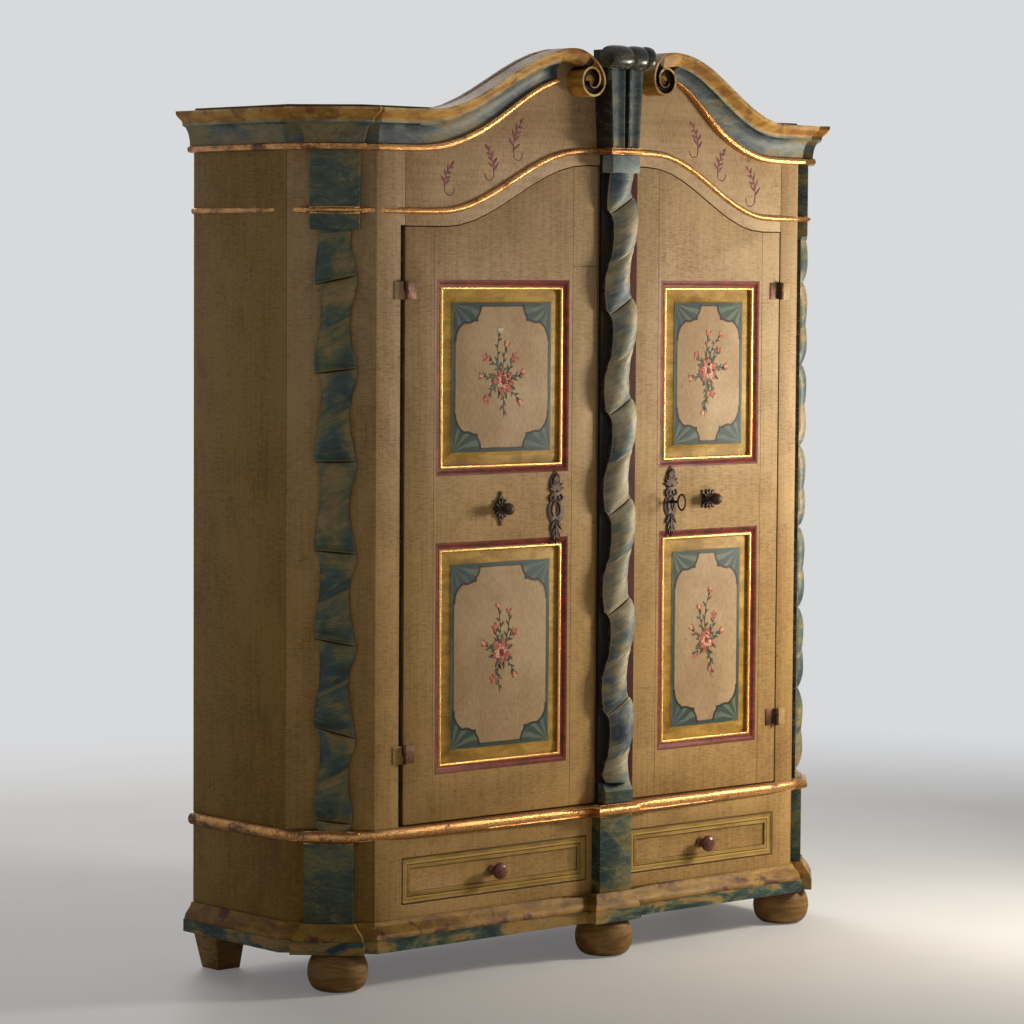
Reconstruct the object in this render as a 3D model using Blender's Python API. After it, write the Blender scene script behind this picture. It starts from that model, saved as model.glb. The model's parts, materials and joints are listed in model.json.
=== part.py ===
"""A painted baroque folk wardrobe: two arched doors over two drawers, canted corners
with twisted pilasters, a swan-neck pediment on a fluted console, and bun feet.

Metres, +Z up. The front faces -Y and the origin is on the floor, under the middle of
the whole wardrobe. Left and right are those of someone who stands before the doors."""
import math

import bmesh
import bpy
from mathutils import Matrix, Vector

# The case
CASE_WIDTH = 1.590
CASE_DEPTH = 0.480
CANT = 0.140
CASE_BOARD = 0.024
BASE_BOARD = 0.028
BACK_BOARD = 0.014
ROOF_BOARD = 0.018
FLOOR_BOARD = 0.024
BASE_BOTTOM_BOARD = 0.018
ROOF_INSET = 0.003
SEAT_GAP = 0.0003
CUT_OVERRUN = 0.002

# Heights above the floor
PLINTH_BOTTOM_Z = 0.085
WAIST_Z = 0.341
BEAD_Z = 1.718
CORNICE_TOP_Z = 1.940
WALL_TOP_Z = 1.930
KEYHOLE_Z = 1.050

# Where the doors stand across the front
LEFT_STILE_WIDTH = 0.081
RIGHT_STILE_WIDTH = 0.057
MEETING_X = 0.004
DOOR_GAP = 0.002
CREST_X = 0.046
CONSOLE_X = 0.039
PILASTER_X = 0.052

# The swan-neck curves, left (-1) and right (1): how far the crest and the level ends reach
BEAD_RISE = 0.145
BEAD_CREST = {-1: 0.095, 1: 0.128}
BEAD_LEVEL = {-1: 0.176, 1: 0.101}
ARCH_DROP = 0.032
ARCH_STEP_IN = 0.016
CORNICE_RISE = 0.153
CORNICE_CREST = {-1: 0.151, 1: 0.165}
CORNICE_LEVEL = {-1: 0.113, 1: 0.094}
CREST_BOARD_DROP = 0.053
CURVE_STEPS = 10

# Cornice section
CORNICE_OUT = 0.050
FASCIA_HEIGHT = 0.027
FASCIA_FOOT_OUT = 0.031
COVE_FILLET = 0.005
COVE_HEIGHT = 0.044
COVE_FOOT_OUT = 0.010
COVE_CREST_SHARE = {-1: 0.76, 1: 0.55}
COVE_TAPER_SHARE = 0.30
CORNICE_BEAD_RADIUS = 0.008
COVE_STEPS = 4
BEAD_STEPS = 4

# The thin bead, the waist and the plinth
BEAD_RADIUS = 0.0075
WAIST_RADIUS = 0.0145
PLINTH_HEIGHT = 0.065
PLINTH_FASCIA_HEIGHT = 0.028
PLINTH_OUT = 0.027
PLINTH_FILLET = 0.003
PLINTH_NECK_OUT = 0.004
OGEE_STEPS = 5

# Blocks and twisted pilasters
CORNER_BLOCK_WIDTH = 0.110
CORNER_BLOCK_OUT = 0.025
CORNER_BLOCK_SHIFT = 0.009
CAPITAL_BOTTOM_Z = 1.675
PEDESTAL_WIDTH = 0.100
PEDESTAL_OUT = 0.029
BATTEN_X = (0.0055, 0.117)
BATTEN_THICKNESS = 0.010
TWIST_DEPTH = 0.026
TWIST_EDGE_DEPTH = 0.008
TWIST_CREASE_DEPTH = 0.012
TWIST_LEAN = 0.6
TWIST_FADE = 0.050
CORNER_TWIST = {"width": 0.082, "sway": 0.008, "pitch": 0.1985, "level": 1.565}
CENTRE_TWIST = {"width": 0.076, "sway": 0.0075, "pitch": 0.2315, "level": 1.740}
CENTRE_TWIST_Z = (0.405, 1.8145)
CENTRE_BASE_WIDTH = 0.088
CENTRE_BASE_OUT = 0.035
CENTRE_BASE_NECK_OUT = 0.022
CENTRE_BLOCK_WIDTH = 0.084
CENTRE_BLOCK_OUT = 0.046
CENTRE_BLOCK_SET_IN = 0.0006
CENTRE_BLOCK_TOP_Z = 1.8545
CENTRE_BASE_SPLIT_Z = 0.386
BATTEN_TOP_Z = 1.8285
TWIST_ROWS = 12
TWIST_COLUMN_SHARES = (-1.0, -0.62, -0.22, 0.22, 0.62, 1.0)
TWIST_WEAK_SHARE = 0.82
TWIST_NARROW_SHARE = 0.10
TWIST_ROUNDNESS = 0.6
SWAY_SECOND_SHARE = 0.3
EDGE_DROP_SHARE = 0.85

# Console and scrolls
CONSOLE_BOTTOM_WIDTH = 0.088
CONSOLE_TOP_WIDTH = 0.106
CONSOLE_BOTTOM_OUT = 0.053
CONSOLE_TOP_OUT = 0.055
CONSOLE_TOP_DROP = 0.046
CONSOLE_ROWS = 8
FLUTE_DEPTH = 0.007
CONSOLE_SHARES = (
    (-1.00, 0.7), (-0.93, 0.0), (-0.80, 0.0), (-0.68, 0.7), (-0.50, 1.0), (-0.32, 0.7),
    (-0.20, 0.0), (-0.13, 0.0), (-0.08, 1.7), (0.08, 1.7), (0.13, 0.0), (0.20, 0.0),
    (0.32, 0.7), (0.50, 1.0), (0.68, 0.7), (0.80, 0.0), (0.93, 0.0), (1.00, 0.7))
ROLL_WIDTH = 0.133
ROLL_RADIUS = 0.028
ROLL_NECK_RADIUS = 0.022
ROLL_OUT = 0.057
ROLL_LOBE_SHARES = (0.28, 0.28, 0.28, 0.16)
ROLL_LOBE_STEPS = 4
ROLL_SIDES = 24
ROLL_BLOCK_WIDTH = 0.112
ROLL_BLOCK_RISE = 0.047

# The two carved scrolls, left (-1) and right (1), which aren't quite alike
SCROLL_FORM = {
    -1: {"offset": 0.113, "drop": 0.0735, "radius": 0.0395, "growth": 0.0455, "power": 3.2},
    1: {"offset": 0.115, "drop": 0.0650, "radius": 0.0380, "growth": 0.0400, "power": 2.0}}
SCROLL_SHARES = (1.00, 0.95, 0.90, 0.88, 0.87, 0.87, 0.84, 0.72, 0.58, 0.48, 0.40, 0.34, 0.28)
SCROLL_SHARE_STEPS = 8
SCROLL_OUT = 0.055
SCROLL_STEPS = 24
SCROLL_ARM_STEPS = 9
SCROLL_GROWTH_STEPS = 8
SCROLL_LEAD_STEPS = 4
SCROLL_RIM = 0.005
SCROLL_RECESS = 0.011
SCROLL_EYE_OUT = 0.049
SCROLL_LEDGE_SHARE = 0.4
SCROLL_BOARD_INSET = 0.004
SCROLL_BOARD_STEPS = 6

# Doors
DOOR_THICKNESS = 0.026
DOOR_RECESS = 0.002
DOOR_BOTTOM_LIFT = 0.003
PANEL_Z = {"lower": (0.464, 0.982), "upper": (1.131, 1.568)}
LEFT_HINGE_STILE = 0.0935
LEFT_MEETING_STILE = 0.088
RIGHT_MEETING_STILE = 0.2007
RIGHT_HINGE_STILE = 0.0682
MOULDING_WIDTH = 0.022
MOULDING_RED_WIDTH = 0.0155
MOULDING_RED_DROP = 0.006
MOULDING_DEPTH = 0.0125
PANEL_EDGE = 0.007
PANEL_RELIEF = 0.007
BEVEL_MARGIN = 0.003
BEVEL_WIDTH = 0.024
FIELD_STEP = 0.0015

# Hinges
HINGE_Z = {"lower": 0.516, "upper": 1.544}
HINGE_HEIGHT = 0.040
KNUCKLE_RADIUS = 0.0055
HINGE_PIN_RADIUS = 0.0020
HINGE_BORE_RADIUS = 0.0024
LEAF_WIDTH = 0.026
LEAF_THICKNESS = 0.0017
KNUCKLE_GAP = 0.0006
NECK_X = (0.0032, 0.0070)
NECK_SET_BACK = 0.001
KNUCKLE_SIDES = 12

# Door hardware
LEFT_KNOB_X = -0.290
RIGHT_KNOB_X = 0.364
KNOB_Z = 1.053
ROSETTE_WIDTH = 0.046
ROSETTE_HEIGHT = 0.078
ROSETTE_THICKNESS = 0.004
DIAMOND_SHARES = ((0.0, 0.0), (0.04, 0.16), (0.10, 0.10), (0.18, 0.28), (0.32, 0.50), (0.45, 0.80),
                  (0.50, 1.00), (0.55, 0.80), (0.68, 0.50), (0.82, 0.28), (0.90, 0.10), (0.96, 0.16),
                  (1.0, 0.0))
SQUARE_SHARES = ((0.22, 0.0), (0.25, 0.50), (0.23, 0.92), (0.50, 0.84), (0.77, 0.92), (0.75, 0.50),
                 (0.78, 0.0))
KNOB_NECK_RADIUS = 0.006
KNOB_NECK = 0.010
KNOB_RADIUS = 0.0145
KNOB_FOOT_RADIUS = 0.010
KNOB_FOOT = 0.002
KNOB_STEPS = 7
KNOB_SIDES = 16
LEFT_KEYHOLE_X = -0.123
RIGHT_KEYHOLE_X = 0.241
ESCUTCHEON_HEIGHT = 0.168
LEFT_ESCUTCHEON_WIDTH = 0.052
RIGHT_ESCUTCHEON_WIDTH = 0.044
ESCUTCHEON_THICKNESS = 0.002
KEYHOLE_RADIUS = 0.0042
KEYHOLE_SLOT = (0.0045, 0.017)
ESCUTCHEON_SHARES = (
    (0.000, 0.00), (0.035, 0.22), (0.110, 0.46), (0.190, 0.62), (0.225, 0.40), (0.280, 0.52),
    (0.360, 0.88), (0.440, 1.00), (0.520, 0.94), (0.575, 0.66), (0.610, 0.86), (0.650, 0.84),
    (0.685, 0.52), (0.760, 0.74), (0.850, 0.78), (0.930, 0.50), (1.000, 0.10))

# Lock, bolts and key
LOCK_X = (0.050, 0.290)
LOCK_HEIGHT = 0.110
LOCK_DEPTH = 0.024
LOCK_WALL = 0.003
BOLT_HEIGHT = 0.026
BOLT_THICKNESS = 0.007
BOLT_TAIL = 0.160
BOLT_CLEARANCE = 0.0007
BOLT_BELOW_KEY = 0.031
BOLT_SET_BACK = 0.006
KEEPER_WIDTH = 0.036
KEEPER_MARGIN = 0.007
KEEPER_POCKET = 0.024
KEY_SHAFT_RADIUS = 0.0035
KEY_FRONT = 0.024
KEY_BOW_HEIGHT = 0.042
KEY_BOW_LENGTH = 0.030
KEY_BOW_RADIUS = 0.0025
KEY_INSIDE = 0.018
KEY_BIT_DROP = 0.012
KEY_BIT_LENGTH = 0.008
KEY_BIT_THICKNESS = 0.003
DOOR_BOLT_X = -0.034
DOOR_BOLT_WIDTH = 0.014
DOOR_BOLT_THICKNESS = 0.006
DOOR_BOLT_LENGTH = 0.150
DOOR_BOLT_THROW = 0.016
BOLT_REST_CLEARANCE = 0.004
BOLT_KNOB_RADIUS = 0.005
BOLT_KNOB_HEIGHT = 0.012
BOLT_KNOB_SHARE = 0.5
SLEEVE_WALL = 0.002
SLEEVE_MARGIN = 0.018
FLOOR_NOTCH_DEPTH = 0.012

# Drawers
DRAWER_Z = (0.1805, 0.2850)
DRAWER_FROM_CORNER = {-1: 0.0795, 1: 0.0635}
DRAWER_FROM_CREST = {-1: 0.0665, 1: 0.0690}
DRAWER_REVEAL = 0.001
DRAWER_LIFT = 0.002
DRAWER_FRONT_BOARD = 0.020
DRAWER_BOARD = 0.012
DRAWER_DEPTH = 0.400
DRAWER_SIDE_HEIGHT = 0.088
DRAWER_SIDE_GAP = 0.003
DRAWER_BOTTOM_BOARD = 0.008
DRAWER_FRAME_WIDTH = 0.026
DRAWER_FIELD_SINK = 0.006
DRAWER_GROOVE = 0.0025
DRAWER_KNOB_RADIUS = 0.017
DRAWER_KNOB_OUT = 0.041
DRAWER_KNOB_SHARES = ((0.0, 0.0), (0.72, 0.0), (0.76, 0.08), (0.50, 0.16), (0.40, 0.32), (0.55, 0.44),
                      (0.90, 0.54), (1.0, 0.68), (0.92, 0.84), (0.60, 0.96), (0.0, 1.0))
DRAWER_KNOB_X = (-0.305, 0.352)
RUNNER_WIDTH = 0.026
DIVIDER_BOARD = 0.022

# Feet
BUN_RADIUS = 0.069
BUN_FOOT_RADIUS = 0.042
BUN_NECK_RADIUS = 0.046
BUN_STEPS = 8
BUN_SIDES = 24
LEFT_FOOT_X = -0.712
RIGHT_FOOT_X = 0.680
SIDE_FOOT_INSET = 0.056
CENTRE_FOOT_INSET = 0.010
REAR_FOOT_TOP = 0.075
REAR_FOOT_BOTTOM = 0.052
REAR_FOOT_INSET = 0.008

# Inside the case
SHELF_Z = 1.600
SHELF_BOARD = 0.018
SHELF_FRONT_GAP = 0.040
FLOOR_TOP_Z = 0.372
RAIL_Z = 1.530
RAIL_RADIUS = 0.012
RAIL_FLANGE_RADIUS = 0.024
RAIL_FLANGE = 0.010
BACK_BOARD_COUNT = 6
BACK_GROOVE = 0.0015

# Derived places
HALF_WIDTH = CASE_WIDTH / 2
FRONT_HALF = HALF_WIDTH - CANT
LEFT_DOOR_X = LEFT_STILE_WIDTH - FRONT_HALF
RIGHT_DOOR_X = FRONT_HALF - RIGHT_STILE_WIDTH
LEFT_PANEL_X = (LEFT_DOOR_X + LEFT_HINGE_STILE, MEETING_X - LEFT_MEETING_STILE)
RIGHT_PANEL_X = (MEETING_X + RIGHT_MEETING_STILE, RIGHT_DOOR_X - RIGHT_HINGE_STILE)
LEFT_DRAWER_X = (DRAWER_FROM_CORNER[-1] - FRONT_HALF, CREST_X - DRAWER_FROM_CREST[-1])
RIGHT_DRAWER_X = (CREST_X + DRAWER_FROM_CREST[1], FRONT_HALF - DRAWER_FROM_CORNER[1])
BEAD_REACH = {side: (BEAD_CREST[side], FRONT_HALF - side * CREST_X - BEAD_LEVEL[side])
              for side in (-1, 1)}
CORNICE_REACH = {side: (CORNICE_CREST[side], FRONT_HALF - side * CREST_X - CORNICE_LEVEL[side])
                 for side in (-1, 1)}
CREST_Z = CORNICE_TOP_Z + CORNICE_RISE
CREST_BOARD_Z = CREST_Z - CREST_BOARD_DROP
CONSOLE_TOP_Z = CREST_Z - CONSOLE_TOP_DROP
ROLL_BLOCK_TOP_Z = CONSOLE_TOP_Z + ROLL_BLOCK_RISE
FRONT_REACH = ROLL_OUT + ROLL_RADIUS
FRONT_Y = (FRONT_REACH - CASE_DEPTH) / 2
BACK_Y = FRONT_Y + CASE_DEPTH
DOOR_Y = FRONT_Y + DOOR_RECESS
DOOR_BACK_Y = DOOR_Y + DOOR_THICKNESS
DOOR_BOTTOM_Z = WAIST_Z + WAIST_RADIUS + DOOR_BOTTOM_LIFT
DRAWER_BOTTOM_Z = DRAWER_Z[0] + DRAWER_LIFT
PLINTH_TOP_Z = PLINTH_BOTTOM_Z + PLINTH_HEIGHT
MERGE_DISTANCE = 0.00003
CONSOLE_BOTTOM_Z = BEAD_Z + BEAD_RISE - BEAD_RADIUS
HINGE_Y = FRONT_Y - KNUCKLE_RADIUS - SEAT_GAP
SPLIT_Z = WAIST_Z + WAIST_RADIUS
SMOOTH_ANGLE = math.radians(35)

COLOURS = {
    "painted_wood": ((0.42, 0.33, 0.22), 0.6, 0.0),
    "plain_wood": ((0.36, 0.25, 0.14), 0.7, 0.0),
    "marbled_paint": ((0.10, 0.16, 0.15), 0.45, 0.0),
    "gilt": ((0.62, 0.32, 0.10), 0.35, 0.8),
    "ochre_paint": ((0.52, 0.33, 0.09), 0.5, 0.0),
    "panel_paint": ((0.45, 0.34, 0.20), 0.55, 0.0),
    "red_paint": ((0.22, 0.05, 0.04), 0.5, 0.0),
    "dark_iron": ((0.05, 0.04, 0.035), 0.5, 0.9),
    "knob_wood": ((0.16, 0.05, 0.03), 0.35, 0.0),
}


def clear_scene():
    for thing in list(bpy.data.objects):
        bpy.data.objects.remove(thing, do_unlink=True)


def material(name):
    """The Principled material of one finish, made once."""
    found = bpy.data.materials.get(name)
    if found:
        return found
    colour, roughness, metallic = COLOURS[name]
    made = bpy.data.materials.new(name)
    made.use_nodes = True
    shader = made.node_tree.nodes["Principled BSDF"]
    shader.inputs["Base Color"].default_value = (*colour, 1)
    shader.inputs["Roughness"].default_value = roughness
    shader.inputs["Metallic"].default_value = metallic
    return made


def place(name, bm, finish, pivot=None):
    """Turn a bmesh into a named object, riding on a joint's empty if it has one."""
    bmesh.ops.recalc_face_normals(bm, faces=bm.faces[:])
    mesh = bpy.data.meshes.new(name)
    bm.to_mesh(mesh)
    bm.free()
    mesh.materials.append(material(finish))
    mesh.shade_smooth()
    mesh.set_sharp_from_angle(angle=SMOOTH_ANGLE)
    made = bpy.data.objects.new(name, mesh)
    bpy.context.scene.collection.objects.link(made)
    if pivot:
        made.parent = pivot
        made.matrix_parent_inverse = Matrix.Translation(-pivot.location)
    return made


def pivot(name, location):
    """An empty on a joint's axis, which carries the pieces that move with it."""
    made = bpy.data.objects.new(name, None)
    made.location = location
    made.empty_display_size = HINGE_HEIGHT
    bpy.context.scene.collection.objects.link(made)
    return made


def combine(target, bm, name, operation):
    """Cut a shape out of an object, or join it on, with a Boolean modifier."""
    tool = place(name, bm, "plain_wood")
    tool.hide_render = True
    tool.display_type = "WIRE"
    if target.parent:
        tool.parent = target.parent
        tool.matrix_parent_inverse = target.matrix_parent_inverse
    modifier = target.modifiers.new(name, "BOOLEAN")
    modifier.object = tool
    modifier.operation = operation
    modifier.solver = "EXACT"


def cut(target, bm, name):
    combine(target, bm, name, "DIFFERENCE")


def join(target, bm, name):
    combine(target, bm, name, "UNION")


# Shapes
def add_rings(bm, rings, closed=False):
    """Join rings of points into one body, with a face on each end unless it is a closed loop."""
    made = [[bm.verts.new(point) for point in ring] for ring in rings]
    count = len(made[0])
    pairs = list(zip(made, made[1:]))
    if closed:
        pairs.append((made[-1], made[0]))
    for low, high in pairs:
        for i in range(count):
            j = (i + 1) % count
            bm.faces.new((low[i], low[j], high[j], high[i]))
    if not closed:
        bm.faces.new(made[0][::-1])
        bm.faces.new(made[-1])


def add_box(bm, x, y, z):
    """A box between pairs of x, y and z."""
    rings = [[(x[0], y[0], level), (x[1], y[0], level), (x[1], y[1], level), (x[0], y[1], level)]
             for level in z]
    add_rings(bm, rings)


def add_plan(bm, outline, z):
    """A flat board cut to an outline in plan."""
    add_rings(bm, [[(x, y, level) for x, y in outline] for level in z])


def add_front(bm, outline, y):
    """A board cut to an outline seen from the front."""
    add_rings(bm, [[(x, depth, z) for x, z in outline] for depth in y])


def add_turned(bm, profile, centre, axis, sides):
    """Turn a profile of (radius, distance along the axis); zero radii close on a point."""
    axis = Vector(axis)
    across = axis.orthogonal().normalized()
    up = axis.cross(across)
    rows = []
    for radius, along in profile:
        middle = Vector(centre) + axis * along
        if radius == 0:
            rows.append([bm.verts.new(middle)])
            continue
        angles = [math.tau * i / sides for i in range(sides)]
        rows.append([bm.verts.new(middle + radius * (across * math.cos(a) + up * math.sin(a)))
                     for a in angles])
    for low, high in zip(rows, rows[1:]):
        for i in range(sides):
            j = (i + 1) % sides
            corners = [low[i % len(low)], low[j % len(low)], high[j % len(high)], high[i % len(high)]]
            bm.faces.new(list(dict.fromkeys(corners)))
    for row in (rows[0], rows[-1]):
        if len(row) > 1:
            bm.faces.new(row)


def rectangle(x, z, inset, y):
    """A ring seen from the front, set in from pairs of x and z."""
    return [(x[0] + inset, y, z[0] + inset), (x[1] - inset, y, z[0] + inset),
            (x[1] - inset, y, z[1] - inset), (x[0] + inset, y, z[1] - inset)]


def add_stepped(bm, x, z, steps):
    """A body seen from the front whose sides step in and out: pairs of (inset, y)."""
    add_rings(bm, [rectangle(x, z, inset, y) for inset, y in steps])


def ease(share):
    return (1 - math.cos(math.pi * share)) / 2


def swan_neck(x, flat_z, rise, reach, step_in=0):
    """Height of a curve that lies flat at both ends and climbs to the crest's middle."""
    side = -1 if x < CREST_X else 1
    inner, outer = reach[side]
    distance = abs(x - CREST_X)
    share = (outer - step_in - distance) / (outer - inner)
    return flat_z + rise * ease(min(max(share, 0), 1))


def bead_height(x):
    return swan_neck(x, BEAD_Z, BEAD_RISE, BEAD_REACH)


def arch_height(x):
    """The underside of the frieze over the doors."""
    return swan_neck(x, BEAD_Z - ARCH_DROP, BEAD_RISE, BEAD_REACH, ARCH_STEP_IN)


def cornice_height(x):
    return swan_neck(x, CORNICE_TOP_Z, CORNICE_RISE, CORNICE_REACH)


def curve_places(start, end, reach, step_in=0):
    """Places across the front, left to right, close together where the curve bends."""
    places = {start, end}
    for side in (-1, 1):
        inner, outer = reach[side]
        for i in range(CURVE_STEPS + 1):
            distance = inner + (outer - inner) * i / CURVE_STEPS - step_in
            places.add(CREST_X + side * distance)
    return [x for x in sorted(places) if start <= x <= end]


# Plan of the case
def case_outline(inset, front_y=None):
    """The case in plan, set in from its outer faces; its front edge can stand further back."""
    corner = inset * math.tan(math.pi / 8)
    half = HALF_WIDTH - inset
    narrow = FRONT_HALF - corner
    deep = FRONT_Y + CANT + corner
    near = FRONT_Y + inset
    if front_y is not None:
        narrow += front_y - near
        near = front_y
    return [(-half, BACK_Y), (-half, deep), (-narrow, near), (narrow, near), (half, deep), (half, BACK_Y)]


def mitre(first, second):
    """The direction in which a mitred corner grows, for two unit normals in plan."""
    first, second = Vector(first), Vector(second)
    return (first + second) / (1 + first.dot(second))


def corner_frame(side):
    """Middle of a canted face in plan, its direction towards the front, and its normal."""
    middle = Vector((side * (HALF_WIDTH + FRONT_HALF) / 2, FRONT_Y + CANT / 2))
    along = Vector((-side, -1)).normalized()
    normal = Vector((side, -1)).normalized()
    return middle, along, normal


def plan_run(side, width, out, shift=0):
    """Corners of a moulding from the back to the front, round the block on the canted face.

    Each entry is a point in plan and the way its mitre grows. It ends at the front corner."""
    middle, along, normal = corner_frame(side)
    outward = Vector((side, 0))
    half_cant = CANT / math.sqrt(2)
    start = middle - along * half_cant
    finish = middle + along * half_cant
    deep = middle + along * (shift - width / 2)
    near = middle + along * (shift + width / 2)
    return [
        (Vector((side * HALF_WIDTH, BACK_Y)), outward),
        (start, mitre(outward, normal)),
        (deep, mitre(normal, -along)),
        (deep + normal * out, mitre(-along, normal)),
        (near + normal * out, mitre(normal, along)),
        (near, mitre(along, normal)),
        (finish, mitre(normal, Vector((0, -1)))),
    ]


def break_run(centre, width, out):
    """Corners of a moulding that steps forward round a block on the front, left to right."""
    front = Vector((0, -1))
    left, right = Vector((-1, 0)), Vector((1, 0))
    x0, x1 = centre - width / 2, centre + width / 2
    return [
        (Vector((x0, FRONT_Y)), mitre(front, left)),
        (Vector((x0, FRONT_Y - out)), mitre(left, front)),
        (Vector((x1, FRONT_Y - out)), mitre(front, right)),
        (Vector((x1, FRONT_Y)), mitre(right, front)),
    ]


def level_section(point, growth, section, z=0):
    """A moulding's section at a corner in plan; the section is (out, height)."""
    return [(point.x + growth.x * (out + SEAT_GAP), point.y + growth.y * (out + SEAT_GAP), z + up)
            for out, up in section]


def curved_section(x, height, section):
    """A moulding's section on a curve across the front, square to the curve."""
    slope = (height(x + SEAT_GAP) - height(x - SEAT_GAP)) / (2 * SEAT_GAP)
    normal = Vector((-slope, 1)).normalized()
    return [(x + normal.x * up, FRONT_Y - out - SEAT_GAP, height(x) + normal.y * up)
            for out, up in section]


def half_round(radius, middle, steps, out=0):
    """Section of a bead: half a circle standing on the wall, from its foot to its top."""
    angles = [-math.pi / 2 + math.pi * i / steps for i in range(steps + 1)]
    return [(out + radius * math.cos(a), middle + radius * math.sin(a)) for a in angles]


# Mouldings
def corner_rings(side, section, z=0, shift=0):
    """The moulding along one side and round the block on its canted corner."""
    return [level_section(*corner, section, z)
            for corner in plan_run(side, CORNER_BLOCK_WIDTH, CORNER_BLOCK_OUT, shift)]


def level_moulding(name, section, finish):
    """A moulding that runs level round both sides and the front, with its three breaks."""
    middle = [level_section(*corner, section) for corner in break_run(CREST_X, PEDESTAL_WIDTH, PEDESTAL_OUT)]
    bm = bmesh.new()
    add_rings(bm, corner_rings(-1, section) + middle + corner_rings(1, section)[::-1])
    place(name, bm, finish)


def make_waist_moulding():
    level_moulding("waist_moulding", half_round(WAIST_RADIUS, WAIST_Z, 2 * BEAD_STEPS), "gilt")


def make_plinth_moulding():
    fascia_top = PLINTH_BOTTOM_Z + PLINTH_FASCIA_HEIGHT
    ogee_foot = fascia_top + PLINTH_FILLET
    ogee_out = PLINTH_OUT - PLINTH_FILLET
    section = [(0, PLINTH_BOTTOM_Z), (PLINTH_OUT, PLINTH_BOTTOM_Z), (PLINTH_OUT, fascia_top),
               (ogee_out, fascia_top)]
    for i in range(OGEE_STEPS + 1):
        share = i / OGEE_STEPS
        section.append((ogee_out + (PLINTH_NECK_OUT - ogee_out) * ease(share),
                        ogee_foot + (PLINTH_TOP_Z - ogee_foot) * share))
    section.append((0, PLINTH_TOP_Z))
    level_moulding("plinth_moulding", section, "ochre_paint")


def make_frieze_bead():
    """The thin bead that follows the arches and steps round the corner blocks and the console."""
    flat = half_round(BEAD_RADIUS, 0, BEAD_STEPS)
    middle = [level_section(*corner, flat, BEAD_Z + BEAD_RISE)
              for corner in break_run(CONSOLE_X, CONSOLE_BOTTOM_WIDTH, CONSOLE_BOTTOM_OUT)]
    places = curve_places(-FRONT_HALF, FRONT_HALF, BEAD_REACH)[1:-1]
    west = [curved_section(x, bead_height, flat) for x in places if x < CONSOLE_X]
    east = [curved_section(x, bead_height, flat) for x in places if x > CONSOLE_X]
    bm = bmesh.new()
    add_rings(bm, corner_rings(-1, flat, BEAD_Z, CORNER_BLOCK_SHIFT) + west + middle + east
              + corner_rings(1, flat, BEAD_Z, CORNER_BLOCK_SHIFT)[::-1])
    place("frieze_bead", bm, "gilt")


def cornice_section():
    """Fascia, cove and bead, as (out, height below the top edge)."""
    cove_top = FASCIA_HEIGHT + COVE_FILLET
    cove_foot = cove_top + COVE_HEIGHT
    section = [(0, 0), (CORNICE_OUT, 0), (CORNICE_OUT, -COVE_FILLET)]
    for i in range(1, OGEE_STEPS):
        share = i / OGEE_STEPS
        section.append((CORNICE_OUT + (FASCIA_FOOT_OUT - CORNICE_OUT) * ease(share),
                        -COVE_FILLET - (FASCIA_HEIGHT - COVE_FILLET) * share))
    section += [(FASCIA_FOOT_OUT, -FASCIA_HEIGHT)]
    for i in range(COVE_STEPS + 1):
        angle = math.pi / 2 * i / COVE_STEPS
        section.append((COVE_FOOT_OUT + (FASCIA_FOOT_OUT - COVE_FOOT_OUT) * (1 - math.sin(angle)),
                        -cove_top - COVE_HEIGHT * (1 - math.cos(angle))))
    bead_middle = -cove_foot - CORNICE_BEAD_RADIUS
    section += half_round(CORNICE_BEAD_RADIUS, bead_middle, BEAD_STEPS, COVE_FOOT_OUT)[::-1][1:]
    section.append((0, bead_middle - CORNICE_BEAD_RADIUS))
    return section


def neck_section(side, x, section):
    """The cornice's section on the swan neck, where the cove may grow narrower towards the crest."""
    climbed = (cornice_height(x) - CORNICE_TOP_Z) / CORNICE_RISE
    taper = max(0, climbed - COVE_TAPER_SHARE) / (1 - COVE_TAPER_SHARE)
    share = 1 - (1 - COVE_CREST_SHARE[side]) * taper
    return [(out, up if up > -FASCIA_HEIGHT else (up + FASCIA_HEIGHT) * share - FASCIA_HEIGHT)
            for out, up in section]


def scroll_eye(side):
    """The middle of a scroll, seen from the front."""
    form = SCROLL_FORM[side]
    return Vector((CREST_X + side * form["offset"], CREST_Z - form["drop"]))


def scroll_radius(side, turn):
    """Outer radius of a scroll, a number of turns on from its edge next to the console."""
    form = SCROLL_FORM[side]
    if turn < 0:
        opened = (-turn * SCROLL_STEPS / SCROLL_GROWTH_STEPS) ** form["power"]
        return form["radius"] + form["growth"] * opened
    low = min(int(turn * SCROLL_SHARE_STEPS), len(SCROLL_SHARES) - 2)
    part = turn * SCROLL_SHARE_STEPS - low
    return form["radius"] * (SCROLL_SHARES[low] * (1 - part) + SCROLL_SHARES[low + 1] * part)


def scroll_spoke(side, turn):
    """Direction from a scroll's eye, winding from the console's side under the eye."""
    angle = math.tau * turn
    return Vector((-side * math.cos(angle), -math.sin(angle)))


def scroll_joint_x(side):
    """Where the cornice ends and the scroll's arm begins."""
    start = -SCROLL_ARM_STEPS / SCROLL_STEPS
    return (scroll_eye(side) + scroll_spoke(side, start) * scroll_radius(side, start)).x


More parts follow.
